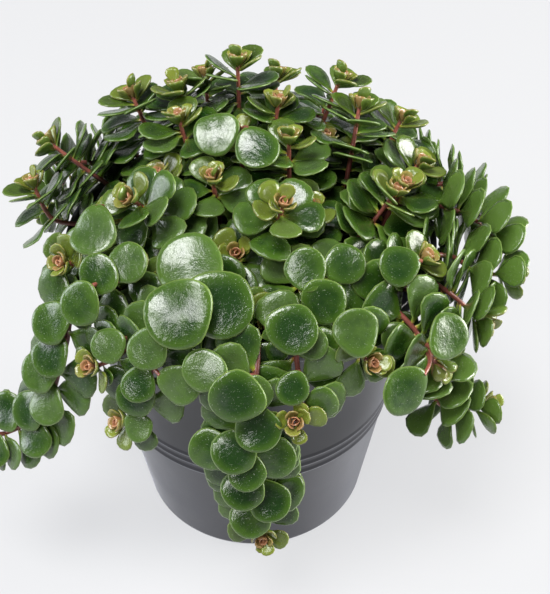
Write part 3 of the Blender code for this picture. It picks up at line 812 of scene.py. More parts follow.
    def fit_leaf(
        self, shoot: Shoot, rings: np.ndarray, below: float, index: int, turn: float, tries: tuple
    ) -> GrownLeaf | None:
        """A leaf as large as there is room for, or None.

        Args:
            shoot: The shoot.
            rings: Its stem's rings.
            below: How far below the tip it stands.
            index: Its place below the bud, which says how young it is.
            turn: Its turn about the stem, in degrees.
            tries: The sizes, lifts and turns aside to try.

        Returns:
            The leaf in its place, or None.
        """
        stand = self.stand(rings, below)
        if stand is None:
            return None
        pitch = OLD_PITCH + YOUNG_PITCH * math.exp(-index / PITCH_LEAVES)
        youth = math.exp(-index / YOUTH_LEAVES)
        aspect, *form = proportions(youth)
        sizes, lifts, turns = tries
        for size in sizes:
            length = shoot.leaf * MM * (1 - YOUNG_SHORTER * youth) * size
            leaf = Leaf(length, length * aspect, *form)
            for lift, aside in itertools.product(lifts, turns):
                axes = spiral_axes(shoot, *stand, turn + aside, pitch + lift)
                grown = GrownLeaf(leaf, stand[0], axes, index)
                if self.set_leaf(shoot, grown):
                    return grown
        return None

    @staticmethod
    def stand(rings: np.ndarray, below: float) -> tuple | None:
        """Where a leaf leaves a stem.

        Args:
            rings: The stem's rings.
            below: How far below the tip it stands.

        Returns:
            The place, the stem's direction and its sideways direction there, or None where that is in
            the soil or just above it.
        """
        along = lengths_along(rings)
        at = along[-1] - below
        if at < PLANTED_DEPTH + NECK_HEIGHT:
            return None
        columns = np.hstack([rings, *frames_along(rings)]).T
        values = [np.interp(at, along, column) for column in columns]
        point, tangent, side = np.array(values[:3]), unit(np.array(values[3:6])), np.array(values[6:])
        return point, tangent, unit(side - tangent * (side @ tangent))

    def add_pot(self) -> None:
        """Records the frame's pot and soil."""
        for name in ("pot", "soil"):
            mesh = frame["nodes"][name].data
            vertices = np.array([corner.co for corner in mesh.vertices])
            self.add(name, vertices, [tuple(face.vertices) for face in mesh.polygons])

    def grow(self) -> dict[str, tuple[np.ndarray, list[GrownLeaf]]]:
        """Grows every shoot. The broad leaves and their stems come first.

        Returns:
            Each shoot's stem rings and leaves, by its name.
        """
        self.add_pot()
        stems = {}
        leaves = {shoot.name: [] for shoot in SHOOTS}
        for shoot in sorted(SHOOTS, key=lambda shoot: not shoot.broad):
            stems[shoot.name] = self.lay_stem(shoot)
            for broad in shoot.broad:
                leaves[shoot.name].append(self.grow_broad_leaf(shoot, stems[shoot.name], broad))
        for index in range(max(shoot.leaves for shoot in SHOOTS)):
            for shoot in SHOOTS:
                if index < shoot.leaves:
                    leaves[shoot.name].append(self.grow_leaf(shoot, stems[shoot.name], index))
        return {name: (rings, [leaf for leaf in leaves[name] if leaf]) for name, rings in stems.items()}

    def fill(self, plant: dict[str, tuple[np.ndarray, list[GrownLeaf]]]) -> None:
        """Adds leaves to a grown plant wherever its shoots still have room for one.

        Args:
            plant: Each shoot's rings and leaves, by its name. The leaves are added to.
        """
        self.add_pot()
        for name, (rings, leaves) in plant.items():
            self.add(name, *self.stem_guard(rings))
            for grown in leaves:
                vertices, faces = grown.leaf.guard(1, 0.0)
                self.add(name, vertices @ grown.axes + grown.point, faces)
            corners = np.array(list(itertools.product((-ROSETTE_BOX, ROSETTE_BOX), repeat=3)))
            self.add(f"{name} petioles", rings[-1] + ROSETTE_REACH * corners, BOX_FACES)
        ring_counts = {name: len(rings) for name, (rings, _) in plant.items()}
        lit = [shoot for shoot in SHOOTS if shoot.light >= COVER_LIGHT]
        places = [(self.cover, shoot, step) for shoot in lit for step in range(ring_counts[shoot.name] * 3)]
        steps = range(int(max(ring_counts.values()) * STEM_STEP / FILL_STEP))
        places += [(self.fill_place, shoot, step) for step in steps for shoot in SHOOTS]
        for find, shoot, step in places:
            rings, leaves = plant[shoot.name]
            grown = find(shoot, rings, step)
            if grown:
                leaves.append(grown)

    def cover(self, shoot: Shoot, rings: np.ndarray, step: int) -> GrownLeaf | None:
        """A round leaf that lies over a hanging stem and faces the light, where there is room for it.

        Args:
            shoot: The shoot.
            rings: Its stem's rings.
            step: How many covering leaves would stand between it and the tip.

        Returns:
            The leaf in its place, or None.
        """
        stand = self.stand(rings, COVER_FIRST + COVER_STEP * step)
        if stand is None:
            return None
        point, tangent, _ = stand
        normal = to_light(point)
        ahead = leaf_axes(tangent, normal)
        hand = 1 if step % 2 else -1
        for size, rise, turn in itertools.product(COVER_SIZES, COVER_RISES, COVER_TURNS):
            angle = math.radians(hand * turn)
            axes = leaf_axes(math.cos(angle) * ahead[1] + math.sin(angle) * ahead[0], normal)
            width = shoot.leaf * MM * size
            leaf = Leaf(COVER_LENGTH * width, width, 0.0, 0.0, 0.0, rise * MM)
            vertices, faces = self.blade_guard(leaf)
            vertices = vertices @ axes + point
            if np.linalg.norm(vertices[-2] - rings[-1]) < width / 2 + ROSETTE_REACH:
                continue
            if not self.meets(vertices, faces, lambda owner: owner != f"{shoot.name} petioles"):
                self.add(shoot.name, vertices, faces)
                return GrownLeaf(leaf, point, axes, BROAD)
        return None

    @staticmethod
    def blade_guard(leaf: Leaf) -> Solid:
        """A bowed disc round a broad leaf's blade, to test what it meets.

        Args:
            leaf: The leaf.

        Returns:
            The disc's points, with the leaf's base at the origin and the leaf along +Y, and its faces.
        """
        half = leaf.width / 2
        middle = np.array([0.0, leaf.length - half, leaf.rise])
        spokes = [2 * math.pi * side / COVER_SIDES for side in range(COVER_SIDES)]
        edge = np.array([(half * math.sin(a), half * math.cos(a), 0.0) for a in spokes]) * BLADE_SWELL
        edge[:, 2] = -BROAD_BOWL * edge[:, 0] ** 2 / leaf.width
        low = np.array([0.0, 0.0, -BLADE_DEPTH * leaf.width])
        vertices = np.vstack([edge + middle, edge + middle + low, middle, middle + low])
        faces = []
        for side in range(COVER_SIDES):
            after = (side + 1) % COVER_SIDES
            faces.append((2 * COVER_SIDES, after, side))
            faces.append((side, after, COVER_SIDES + after, COVER_SIDES + side))
            faces.append((2 * COVER_SIDES + 1, COVER_SIDES + side, COVER_SIDES + after))
        return vertices, faces

    def fill_place(self, shoot: Shoot, rings: np.ndarray, step: int) -> GrownLeaf | None:
        """A leaf a number of steps below a shoot's tip, or None where there is no room for it.

        Args:
            shoot: The shoot.
            rings: Its stem's rings.
            step: How many steps below the tip.

        Returns:
            The leaf in its place, or None.
        """
        below = FILL_FIRST + FILL_STEP * shoot.spread * step
        index = next(place for place in itertools.count() if shoot.below_tip(place) >= below)
        turn = shoot.turn + FILL_TURN + GOLDEN_ANGLE * step
        return self.fit_leaf(shoot, rings, below, index, turn, FILL_TRIES)


# ---------------------------------------------------------------- finishes


@dataclass(frozen=True)
class LivingLeaf:
    """Fleshy succulent leaf under a thin wax: deep green and glossy, with an uneven, dimpled skin that
    breaks up the highlights, tiny painted highlights as pale specks on the dimples, a pale margin, a yellow
    to pink foot, and golden-brown young leaves at the tip."""

    deep: str = "#17300d"
    bright: str = "#44601b"
    dusty: str = "#45523a"
    foot: str = "#95a235"
    blush: str = "#b5604c"
    margin: str = "#7f9450"
    young: str = "#6f7a2c"
    young_margin: str = "#8c4c3a"
    bud: str = "#9a6a4c"
    underside: str = "#4e682b"
    # painted highlight: pale specks on the dimples' peaks stand in for the glints of the dimpled skin
    painted_glint: str = "#a4ae98"
    roughness: float = 0.18
    mottle: float = 0.003  # the patches of lighter green, across
    undulation: float = 0.0016  # the gentle unevenness of the blade, across
    dimple: float = 0.00038  # the skin's dimples, drawn twice as wide as they are so that they show

    def build(self) -> bpy.types.Material:
        """The leaf's material. It reads the leaf's own attributes.

        Returns:
            The material.
        """
        material, tree, shader = new_material("living_leaf")
        names = ("along", "rim", "underside", "youth", "tint")
        along, rim, under, youth, tint = (
            add_node(tree, "ShaderNodeAttribute", attribute_name=name).outputs["Fac"] for name in names
        )
        place = add_node(tree, "ShaderNodeTexCoord").outputs["Object"]
        mottle = add_node(
            tree, "ShaderNodeTexNoise", {"Vector": place, "Scale": 1 / self.mottle, "Detail": 3.0}
        ).outputs["Fac"]
        dimples = add_node(
            tree, "ShaderNodeTexNoise", {"Vector": place, "Scale": 1 / self.dimple, "Detail": 2.0}
        ).outputs["Fac"]
        values = {"along": along, "rim": rim, "youth": youth, "tint": tint, "dimples": dimples}
        for name, operation, one, other in (
            ("mottled", "MULTIPLY", mottle, 0.55),
            ("tinted", "MULTIPLY", tint, 0.6),
            ("patches", "ADD", "mottled", "tinted"),
            ("tint_gloss", "MULTIPLY", tint, 0.07),
            ("mottle_gloss", "MULTIPLY", mottle, 0.12),
        ):
            operands = {0: values.get(one, one), 1: values.get(other, other)}
            values[name] = add_node(tree, "ShaderNodeMath", operands, operation=operation).outputs[0]
        # smooth steps: what each reads, where it starts and ends, and its value there
        for name, read, low, high, start, end in (
            ("patched", "patches", 0.38, 1.2, 0.0, 1.0),
            ("dusted", "tint", 0.6, 1.0, 0.0, 0.35),
            ("near_foot", "along", 0.1, 0.55, 0.8, 0.0),
            ("near_rim", "rim", 0.45, 0.97, 0.0, 0.5),
            ("unripe", "youth", 0.25, 1.0, 0.0, 0.85),
            ("foot", "along", 0.05, 0.22, 0.8, 0.0),
            ("blush", "along", 0.03, 0.12, 0.8, 0.0),
            ("margin", "rim", 0.94, 1.0, 0.0, 0.6),
            ("paler_below", "rim", 0.8, 1.0, 0.75, 0.3),
            ("in_bud", "youth", 1.05, 1.6, 0.0, 1.0),
            # painted highlight: pale specks where the dimples peak
            ("painted_glint", "dimples", 0.66, 0.74, 0.0, 0.45),
            ("dull_rim", "rim", 0.88, 1.0, 0.0, 0.14),
        ):
            limits = {"Value": values[read], 1: low, 2: high, 3: start, 4: end}
            step = add_node(tree, "ShaderNodeMapRange", limits, interpolation_type="SMOOTHSTEP")
            values[name] = step.outputs[0]
        pale = add_node(
            tree, "ShaderNodeMath", {0: under, 1: values["paler_below"]}, operation="MULTIPLY"
        ).outputs[0]
        edge = add_node(
            tree,
            "ShaderNodeMix",
            {"Factor": values["unripe"], 6: linear(self.margin), 7: linear(self.young_margin)},
            data_type="RGBA",
        ).outputs[2]
        colour = linear(self.deep)
        for share, layer in (
            (values["patched"], linear(self.bright)),
            (values["dusted"], linear(self.dusty)),
            (values["near_foot"], linear(self.bright)),
            (values["near_rim"], linear(self.bright)),
            (values["unripe"], linear(self.young)),
            (values["foot"], linear(self.foot)),
            (values["blush"], linear(self.blush)),
            (values["margin"], edge),
            (pale, linear(self.underside)),
            (values["in_bud"], linear(self.bud)),
            (values["painted_glint"], linear(self.painted_glint)),
        ):
            blended = add_node(
                tree, "ShaderNodeMix", {"Factor": share, 6: colour, 7: layer}, data_type="RGBA"
            )
            colour = blended.outputs[2]
        rough = self.roughness - 0.06
        for name in ("tint_gloss", "dull_rim", "mottle_gloss"):
            total = add_node(tree, "ShaderNodeMath", {0: rough, 1: values[name]}, operation="ADD")
            rough = total.outputs[0]
        uneven = add_node(tree, "ShaderNodeTexNoise", {"Vector": place, "Scale": 1 / self.undulation})
        waves = add_node(
            tree, "ShaderNodeBump", {"Height": uneven.outputs["Fac"], "Strength": 0.45, "Distance": 0.0004}
        )
        bump = add_node(
            tree,
            "ShaderNodeBump",
            {"Height": dimples, "Normal": waves.outputs[0], "Strength": 0.4, "Distance": self.dimple * 0.5},
        )
        surface = {
            "Base Color": colour,
            "Roughness": rough,
            "Normal": bump.outputs["Normal"],
            "IOR": 1.44,
            "Subsurface Weight": 0.05,
            "Subsurface Radius": (0.6, 1.0, 0.25),
            "Subsurface Scale": 0.0012,
            "Coat Weight": 0.2,
            "Coat Roughness": 0.1,
        }
        connect(tree, shader, surface)
        return material


@dataclass(frozen=True)
class StemSkin:
    """Smooth skin of a young stem: pink-red near the tip, brown-red and woodier lower down, where its
    darkness is partly painted shade.
    """

    # the lower stem's colour: woody brown-red, darkened further as painted shade for the stems inside the
    # plant
    old: str = "#4a2c24"
    ripe: str = "#83443b"
    fresh: str = "#a35a4b"
    roughness: float = 0.36
    streak: float = 0.0007  # the fine lengthwise streaks, across

    def build(self) -> bpy.types.Material:
        """The stem's material. It reads how far up the stem a point is.

        Returns:
            The material.
        """
        material, tree, shader = new_material("stem_skin")
        rising = add_node(tree, "ShaderNodeAttribute", attribute_name="rising").outputs["Fac"]
        place = add_node(tree, "ShaderNodeTexCoord").outputs["Object"]
        streaks = add_node(
            tree, "ShaderNodeTexNoise", {"Vector": place, "Scale": 1 / self.streak, "Detail": 2.0}
        ).outputs["Fac"]
        # darker lower down: partly woody skin, partly painted shade inside the plant
        ramp = add_node(tree, "ShaderNodeValToRGB", {"Fac": rising})
        stops = ramp.color_ramp.elements
        stops[0].position, stops[0].color = 0.1, linear(self.old)
        stops[1].position, stops[1].color = 0.95, linear(self.fresh)
        stops.new(0.6).color = linear(self.ripe)
        shade = add_node(
            tree,
            "ShaderNodeMix",
            {"Factor": streaks, 6: ramp.outputs["Color"], 7: linear(self.old)},
            data_type="RGBA",
        )
        bump = add_node(tree, "ShaderNodeBump", {"Height": streaks, "Strength": 0.3, "Distance": 0.0002})
        surface = {"Base Color": shade.outputs[2], "Roughness": self.roughness, "Normal": bump.outputs[0]}
        connect(tree, shader, surface)
        return material


@dataclass(frozen=True)
class MouldedPlastic:
    """Injection-moulded polypropylene in anthracite: a satin face with a fine spark-eroded grain and a
    little handling dust."""

    body: str = "#1c1d25"
    worn: str = "#262731"
    dust: str = "#dcdeea"
    roughness: float = 0.36
    grain: float = 0.0006  # the moulded grain, drawn coarser than the real 0.2 mm so that it shows
    smear: float = 0.03  # the soft patches that handling leaves, across

    def build(self) -> bpy.types.Material:
        """The pot's material.

        Returns:
            The material.
        """
        material, tree, shader = new_material("moulded_polypropylene")
        place = add_node(tree, "ShaderNodeTexCoord").outputs["Object"]
        grain = add_node(
            tree, "ShaderNodeTexNoise", {"Vector": place, "Scale": 1 / self.grain, "Detail": 2.0}
        ).outputs["Fac"]
        smear = add_node(
            tree, "ShaderNodeTexNoise", {"Vector": place, "Scale": 1 / self.smear, "Detail": 4.0}
        ).outputs["Fac"]
        patch = add_node(tree, "ShaderNodeMapRange", {"Value": smear, 1: 0.45, 2: 0.8, 3: 0.0, 4: 0.6})
        shade = add_node(
            tree,
            "ShaderNodeMix",
            {"Factor": patch.outputs[0], 6: linear(self.body), 7: linear(self.worn)},
            data_type="RGBA",
        )
        rough = add_node(
            tree,
            "ShaderNodeMapRange",
            {"Value": smear, 1: 0.3, 2: 0.7, 3: self.roughness - 0.05, 4: self.roughness + 0.07},
        )
        bump = add_node(tree, "ShaderNodeBump", {"Height": grain, "Strength": 0.12, "Distance": 0.0001})
        surface = {
            "Base Color": shade.outputs[2],
            "Roughness": rough.outputs[0],
            "Normal": bump.outputs["Normal"],
            "Sheen Weight": 0.55,
            "Sheen Roughness": 0.27,
            "Sheen Tint": linear(self.dust),
        }
        connect(tree, shader, surface)
        return material


@dataclass(frozen=True)
class PottingPeat:
    """Damp peat: near black, dull and fibrous, with paler dry crumbs."""

    damp: str = "#1d1612"
    dry: str = "#4a3a2c"
    clod: float = 0.004  # the patches of dry peat, across
    fibre: float = 0.0008  # the fibres' relief, across
    roughness: float = 0.92

    def build(self) -> bpy.types.Material:
        """The peat's material.

        Returns:
            The material.
        """
        material, tree, shader = new_material("potting_peat")
        place = add_node(tree, "ShaderNodeTexCoord").outputs["Object"]
        clods = add_node(
            tree, "ShaderNodeTexNoise", {"Vector": place, "Scale": 1 / self.clod, "Detail": 6.0}
        ).outputs["Fac"]
        fibres = add_node(
            tree, "ShaderNodeTexNoise", {"Vector": place, "Scale": 1 / self.fibre, "Detail": 3.0}
        ).outputs["Fac"]
        patch = add_node(tree, "ShaderNodeMapRange", {"Value": clods, 1: 0.45, 2: 0.75, 3: 0.0, 4: 1.0})
        shade = add_node(
            tree,
            "ShaderNodeMix",
            {"Factor": patch.outputs[0], 6: linear(self.damp), 7: linear(self.dry)},
            data_type="RGBA",
        )
        bump = add_node(tree, "ShaderNodeBump", {"Height": fibres, "Strength": 0.8, "Distance": 0.0008})
        surface = {"Base Color": shade.outputs[2], "Roughness": self.roughness, "Normal": bump.outputs[0]}
        connect(tree, shader, surface)
        return material


@dataclass(frozen=True)
class Perlite:
    """Expanded volcanic glass: chalky white crumbs, porous and dull."""

    white: str = "#d6d2c6"
    pore: float = 0.0006  # the pores, across
    roughness: float = 0.85

    def build(self) -> bpy.types.Material:
        """The perlite's material.

        Returns:
            The material.
        """
        material, tree, shader = new_material("perlite")
        place = add_node(tree, "ShaderNodeTexCoord").outputs["Object"]
        pores = add_node(tree, "ShaderNodeTexNoise", {"Vector": place, "Scale": 1 / self.pore})
        bump = add_node(
            tree, "ShaderNodeBump", {"Height": pores.outputs["Fac"], "Strength": 0.6, "Distance": 0.0003}
        )
        surface = {"Base Color": linear(self.white), "Roughness": self.roughness, "Normal": bump.outputs[0]}
        connect(tree, shader, surface)
        return material


# ---------------------------------------------------------------- leaf forms


class LeafAge(Enum):
    """The leaf forms that a shoot is made of, by how young they are: 1 is the youngest spoon."""

    BUD = 1.5
    SPOON = 1.0
    YOUNG = 0.67
    HALF_GROWN = 0.45
    NEARLY_GROWN = 0.28
    GROWN = 0.12
    GROWN_WAVY = 0.119
    OLD = 0.02
    OLD_WAVY = 0.019
    BROAD = 0.0
    BROAD_ASKEW = -0.001


LEAF_HALF = 0.45  # a grown leaf's half width, in lengths
# the forms that cup, or bow down if below 0, in their own way
OWN_CUPS = {LeafAge.BUD: 0.55, LeafAge.BROAD: -0.16, LeafAge.BROAD_ASKEW: -0.13}


@dataclass(frozen=True)
class LeafForm:
    """A fleshy leaf one unit long, made of rings round its middle: a fan on top, a rounded rim, a flat
    underside. It lies along +Y with its base at the origin and its upper side up."""

    age: LeafAge
    sides: int = 16
    thickness: float = 0.074
    wave: float = 0.0
    skew: float = 0.0  # how far the middle leans to one side, in lengths
    # share of the way to the rim, then the depth below the upper side, in thicknesses
    upper: tuple = ((0.55, 0.02), (0.92, 0.0), (1.0, 0.45))
    lower: tuple = ((0.8, 0.95),)
    dish: float = 0.02  # how far the middle lies below the shoulder, in lengths
    centre: tuple = (0.0, 0.56)  # the middle that the rings go round
    wedges: tuple = (0.42, 0.23)  # an old leaf's wedge, and what youth adds
    bud_shape: tuple = (0.45, 0.42)  # the bud leaf's wedge and half width
    foot: float = 0.055  # half width where the leaf joins its stem
    foot_widening: float = 16.0  # how fast it reaches that width
    lobe: float = 0.025  # how far a broad leaf's rim waves in and out
    lobe_turn: float = 40.0  # how far the skew turns those waves round the rim
    broad_half: float = 0.485
    broad_foot: float = 0.76  # a broad leaf's width near its foot, as a share of its widest
    widening: float = 1.7  # how fast it widens from there
    ripples: tuple = (7.0, 2.0)  # the blade's ripples along its length, and where they start
    broad_from: float = 0.3  # how far along a broad leaf, with its stalk, its blade starts

    @property
    def broad(self) -> bool:
        """True for the forms of the leaves that stand out."""
        return self.age in (LeafAge.BROAD, LeafAge.BROAD_ASKEW)

    def outline(self) -> np.ndarray:
        """The leaf's outline from its base round its tip.

        Returns:
            Its points, as across and along.
        """
        youth = min(self.age.value, 1.0)
        wedge = self.wedges[0] + self.wedges[1] * youth
        half = proportions(youth)[0] / 2
        if self.age is LeafAge.BUD:
            wedge, half = self.bud_shape
        points = []
        for side in range(self.sides):
            angle = 2 * math.pi * side / self.sides
            t = (1 - math.cos(angle)) / 2
            if self.broad:
                lobes = 1 + self.lobe * math.sin(3 * angle + self.lobe_turn * self.skew)
                narrowing = self.broad_foot + (1 - self.broad_foot) * min(1.0, self.widening * t)
                across = self.broad_half * math.sin(angle) * narrowing * lobes
            else:
                foot = self.foot * min(1.0, self.foot_widening * t) if t < 0.5 else 0.0
                across = math.copysign(max(foot, half * blade_share(t, wedge)), math.sin(angle))
            across = across if 0 < side < self.sides and 2 * side != self.sides else 0.0
            points.append((across + self.skew * math.sin(math.pi * t), t))
        return np.array(points)

    def height(self, across: np.ndarray, along: np.ndarray) -> np.ndarray:
        """How high the leaf's upper side is over a straight leaf, by place.

        Args:
            across: Places across the leaf, in lengths.
            along: Places along it, in lengths.

        Returns:
            The heights, in lengths.
        """
        _, _, cup, droop = proportions(min(self.age.value, 1.0))
        cup = OWN_CUPS.get(self.age, cup)
        droop = 0.0 if self.broad else droop
        bowl = cup * across**2 / LEAF_HALF
        ripple = self.wave * np.sin(self.ripples[0] * along + self.ripples[1]) * (across / LEAF_HALF)
        return bowl - droop * along**2 + ripple

    def build(self) -> bpy.types.Object:
        """The form's mesh object, with where each point is on the leaf as attributes.

        Returns:
            The object.
        """
        outline = self.outline()
        centre = np.array(self.centre)
        rows = [((0.0, 0.0), 0.0)] + [(ring, 0.0) for ring in self.upper]
        rows += [(ring, 1.0) for ring in self.lower] + [((0.0, 1.0), 1.0)]
        places, along, rim, under = [], [], [], []
        for (share, depth), below in rows:
            ring = centre + (outline - centre) * share if share else centre[None, :]
            across, t = ring[:, 0], ring[:, 1]
            dish = self.dish * (1 - share**2) * (1 - below)
            z = self.height(across, t) - depth * self.thickness - dish
            places.append(np.column_stack([across, t, z]))
            along += list(self.broad_from + (1 - self.broad_from) * t if self.broad else t)
            rim += [share] * len(ring)
            under += [below if share < 1 else 0.5] * len(ring)
        vertices = np.vstack(places)
        item = add_object(f"form_{list(LeafAge).index(self.age):02d}", vertices, self.faces(len(vertices)))
        for name, values in (("along", along), ("rim", rim), ("underside", under)):
            add_values(item.data, name, "FLOAT", np.array(values))
        uv = item.data.uv_layers.new(name="leaf")
        corners = np.array([loop.vertex_index for loop in item.data.loops])
        flat = np.column_stack([vertices[corners, 0] + 0.5, vertices[corners, 1]])
        uv.data.foreach_set("uv", flat.ravel())
        return item

    def faces(self, count: int) -> list:
        """The faces: a fan at each middle and quads between the rings, all facing out.

        Args:
            count: How many points the leaf has.

        Returns:
            The faces.
        """
        sides = self.sides
        faces = []
        for side in range(sides):
            after = (side + 1) % sides
            faces.append((0, 1 + side, 1 + after))
            faces.append((count - 1, count - 1 - sides + after, count - 1 - sides + side))
            for start in range(1, count - 1 - sides, sides):
                outer = start + sides
                faces.append((start + side, outer + side, outer + after, start + after))
        return faces


# ---------------------------------------------------------------- the plant


@dataclass
class ShootDresser:
    """Dresses each grown shoot: a smooth stem, its leaves, and a rosette of tiny leaves at the tip."""

    leaf_finish: bpy.types.Material
    stem_finish: bpy.types.Material
    stem_sides: int = 8
    stem_step: float = 0.0022
    base_girth: float = 0.0011
    tip_girth: float = 0.0006
    swell: float = 1.04  # how far a leaf fills the clearance round it
    seed: int = 7
    bud_leaves: int = 9
    bud_leaf: float = 0.0064  # length of the rosette's outermost leaf
    bud_smallest: float = 0.34  # the innermost one's length, as a share of that
    bud_leans: tuple = (36.0, 46.0)  # the outermost leaf's lean in, and how much more the innermost has
    bud_depth: float = 0.0022  # how far below the tip the outermost leaf starts
    bud_step: float = 0.0012  # how much higher the innermost one starts
    bud_spread: float = 0.0006  # how far from the stem's middle the outermost one starts
    bud_aspect: float = 0.7
    bud_youth: float = 0.8  # how much younger than a spoon leaf the innermost one is
    tip_inset: float = 0.0012  # how far below the tip the stem ends
    petiole_girths: tuple = (0.0008, 0.0006, 0.0006)  # a broad leaf's, from the stem to the blade
    petiole_ripeness: tuple = (0.8, 0.9, 1.0)  # its colour, as a share of the way up a stem
    petiole_bow: float = 0.15  # how far its middle bows up, over its rise
    petiole_inside: float = 0.06  # how far it runs on into the blade, over the blade's width
    petiole_sunk: float = 0.3  # how deep it ends in the blade, over the blade's thickness
    forms: bpy.types.Collection = None
    tree: bpy.types.NodeTree = None

    def __post_init__(self) -> None:
        """Makes the leaf forms and the tree that sets them on a shoot."""
        self.forms = bpy.data.collections.new("leaf_forms")
        for age in LeafAge:
            form = LeafForm(age)
            if age is LeafAge.BUD:
                form = LeafForm(age, sides=12, thickness=0.13)
            elif age in (LeafAge.SPOON, LeafAge.YOUNG):
                form = LeafForm(age, thickness=0.11)
            elif age in (LeafAge.GROWN_WAVY, LeafAge.OLD_WAVY):
                form = LeafForm(age, wave=0.05, dish=0.03, skew=0.04)
            elif form.broad:
                form = LeafForm(
                    age,
                    sides=28,
                    thickness=0.075,
                    wave=0.025 if age is LeafAge.BROAD else 0.045,
                    dish=0.03,
                    skew=-0.012 if age is LeafAge.BROAD else 0.03,
                    upper=((0.3, 0.0), (0.6, 0.01), (0.82, 0.0), (0.95, 0.1), (1.0, 0.45)),
                    lower=((0.93, 0.85), (0.6, 1.0)),
                )
            item = form.build()
            self.forms.objects.link(item)
            bpy.context.scene.collection.objects.unlink(item)
        self.tree = self.build_tree()

    def build_tree(self) -> bpy.types.NodeTree:
        """The node tree: the stem's line becomes a tapering tube, and each leaf point gets its form.

        Returns:
            The tree.
        """
        tree, given = new_tree(
            "shoot",
            {
                "Leaf Forms": "Collection",
                "Stem Sides": "Int",
                "Stem Step": "Float",
                "Seed": "Int",
                "Leaf Finish": "Material",
                "Stem Finish": "Material",
            },
        )
        kinds = {
            "is_leaf": "BOOLEAN",
            "girth": "FLOAT",
            "out": "FLOAT_VECTOR",
            "reach": "FLOAT_VECTOR",
            "form": "INT",
            "size": "FLOAT",
        }
        stored = {}
        for name, kind in kinds.items():
            read = add_node(tree, "GeometryNodeInputNamedAttribute", {"Name": name}, data_type=kind)
            stored[name] = read.outputs["Attribute"]
        parts = add_node(
            tree,
            "GeometryNodeSeparateGeometry",
            {"Geometry": given["Geometry"], "Selection": stored["is_leaf"]},
        )
        line = add_node(tree, "GeometryNodeMeshToCurve", {"Mesh": parts.outputs["Inverted"]})
        smooth = add_node(
            tree, "GeometryNodeCurveSplineType", {0: line.outputs[0]}, spline_type="CATMULL_ROM"
        )
        fine = add_node(
            tree,
            "GeometryNodeResampleCurve",
            {"Curve": smooth.outputs[0], "Length": given["Stem Step"]},
            mode="LENGTH",
        )
        section = add_node(tree, "GeometryNodeCurvePrimitiveCircle", {"Resolution": given["Stem Sides"]})
        tube = add_node(
            tree,
            "GeometryNodeCurveToMesh",
            {
                "Curve": fine.outputs[0],
                "Profile Curve": section.outputs["Curve"],
                "Scale": stored["girth"],
                "Fill Caps": True,
            },
        )

        chance = add_node(tree, "FunctionNodeRandomValue", {"Seed": given["Seed"]}, data_type="FLOAT")
        tinted = add_node(
            tree,
            "GeometryNodeStoreNamedAttribute",
            {"Geometry": parts.outputs["Selection"], "Name": "tint", "Value": chance.outputs[1]},
            data_type="FLOAT",
            domain="POINT",
        )
        shapes = add_node(
            tree,
            "GeometryNodeCollectionInfo",
            {"Collection": given["Leaf Forms"], "Separate Children": True, "Reset Children": True},
        )
        facing = add_node(
            tree,
            "FunctionNodeAxesToRotation",
            {"Primary Axis": stored["out"], "Secondary Axis": stored["reach"]},
            primary_axis="Z",
            secondary_axis="Y",
        )
        set_leaves = add_node(
            tree,
            "GeometryNodeInstanceOnPoints",
            {
                "Points": tinted.outputs[0],
                "Instance": shapes.outputs[0],
                "Pick Instance": True,
                "Instance Index": stored["form"],
                "Rotation": facing.outputs[0],
                "Scale": stored["size"],
            },
        )
        joined = add_node(tree, "GeometryNodeJoinGeometry")
        tree.links.new(tube.outputs[0], joined.inputs[0])
        tree.links.new(set_leaves.outputs[0], joined.inputs[0])
        even = add_node(tree, "GeometryNodeSetShadeSmooth", {"Geometry": joined.outputs[0]})
        whole = add_node(tree, "GeometryNodeRealizeInstances", {"Geometry": even.outputs[0]})
        stem = add_node(
            tree,
            "GeometryNodeSetMaterial",
            {"Geometry": whole.outputs[0], "Material": given["Stem Finish"]},
        )
        leaves = add_node(
            tree,
            "GeometryNodeSetMaterial",
            {
                "Geometry": stem.outputs[0],
                "Selection": stored["is_leaf"],
                "Material": given["Leaf Finish"],
            },
        )
        add_node(tree, "NodeGroupOutput", {"Geometry": leaves.outputs[0]})
        return tree

    def form_of(self, grown: GrownLeaf) -> tuple[int, float]:
        """The place of a leaf's form among the forms, and how young the leaf is.

        Args:
            grown: The leaf.

        Returns:
            The place and the youth.
        """
        ages = list(LeafAge)
        if grown.index == BROAD:
            return ages.index(LeafAge.BROAD) + round(grown.leaf.length * 1e6) % 2, 0.0
        youth = math.exp(-grown.index / YOUTH_LEAVES)
        grades = ages[1:-2]
        best = min(grades, key=lambda age: abs(age.value - youth))
        if best in (LeafAge.GROWN, LeafAge.OLD) and grown.index % 2:
            best = ages[ages.index(best) + 1]
        return ages.index(best), youth

    def rosette(self, shoot: Shoot, rings: np.ndarray) -> list[tuple[GrownLeaf, float]]:
        """The tiny leaves round a shoot's tip, going on up its spiral.

        Args:
            shoot: The shoot.
            rings: Its stem's rings.

        Returns:
            Each leaf and how young it is, above 1.
        """
        tangents, sides = frames_along(rings)
        tangent, side = tangents[-1], sides[-1]
        leaves = []
        for step in range(self.bud_leaves):
            share = 1 - step / self.bud_leaves
            angle = math.radians(shoot.turn - GOLDEN_ANGLE * (step + 1))
            lean = math.radians(self.bud_leans[0] + self.bud_leans[1] * (1 - share))
            outward = math.cos(angle) * side + math.sin(angle) * np.cross(tangent, side)
            reach = math.cos(lean) * outward + math.sin(lean) * tangent
            normal = math.cos(lean) * tangent - math.sin(lean) * outward
            depth = self.bud_depth - self.bud_step * (1 - share)
            point = rings[-1] - tangent * depth + outward * self.bud_spread * share
            length = self.bud_leaf * (self.bud_smallest + (1 - self.bud_smallest) * share)
            leaf = Leaf(length, length * self.bud_aspect, 0.65, 0.3, 0.0)
            youth = 1.0 + self.bud_youth * (1 - share)
            leaves.append((GrownLeaf(leaf, point, leaf_axes(reach, normal), 0), youth))
        return leaves

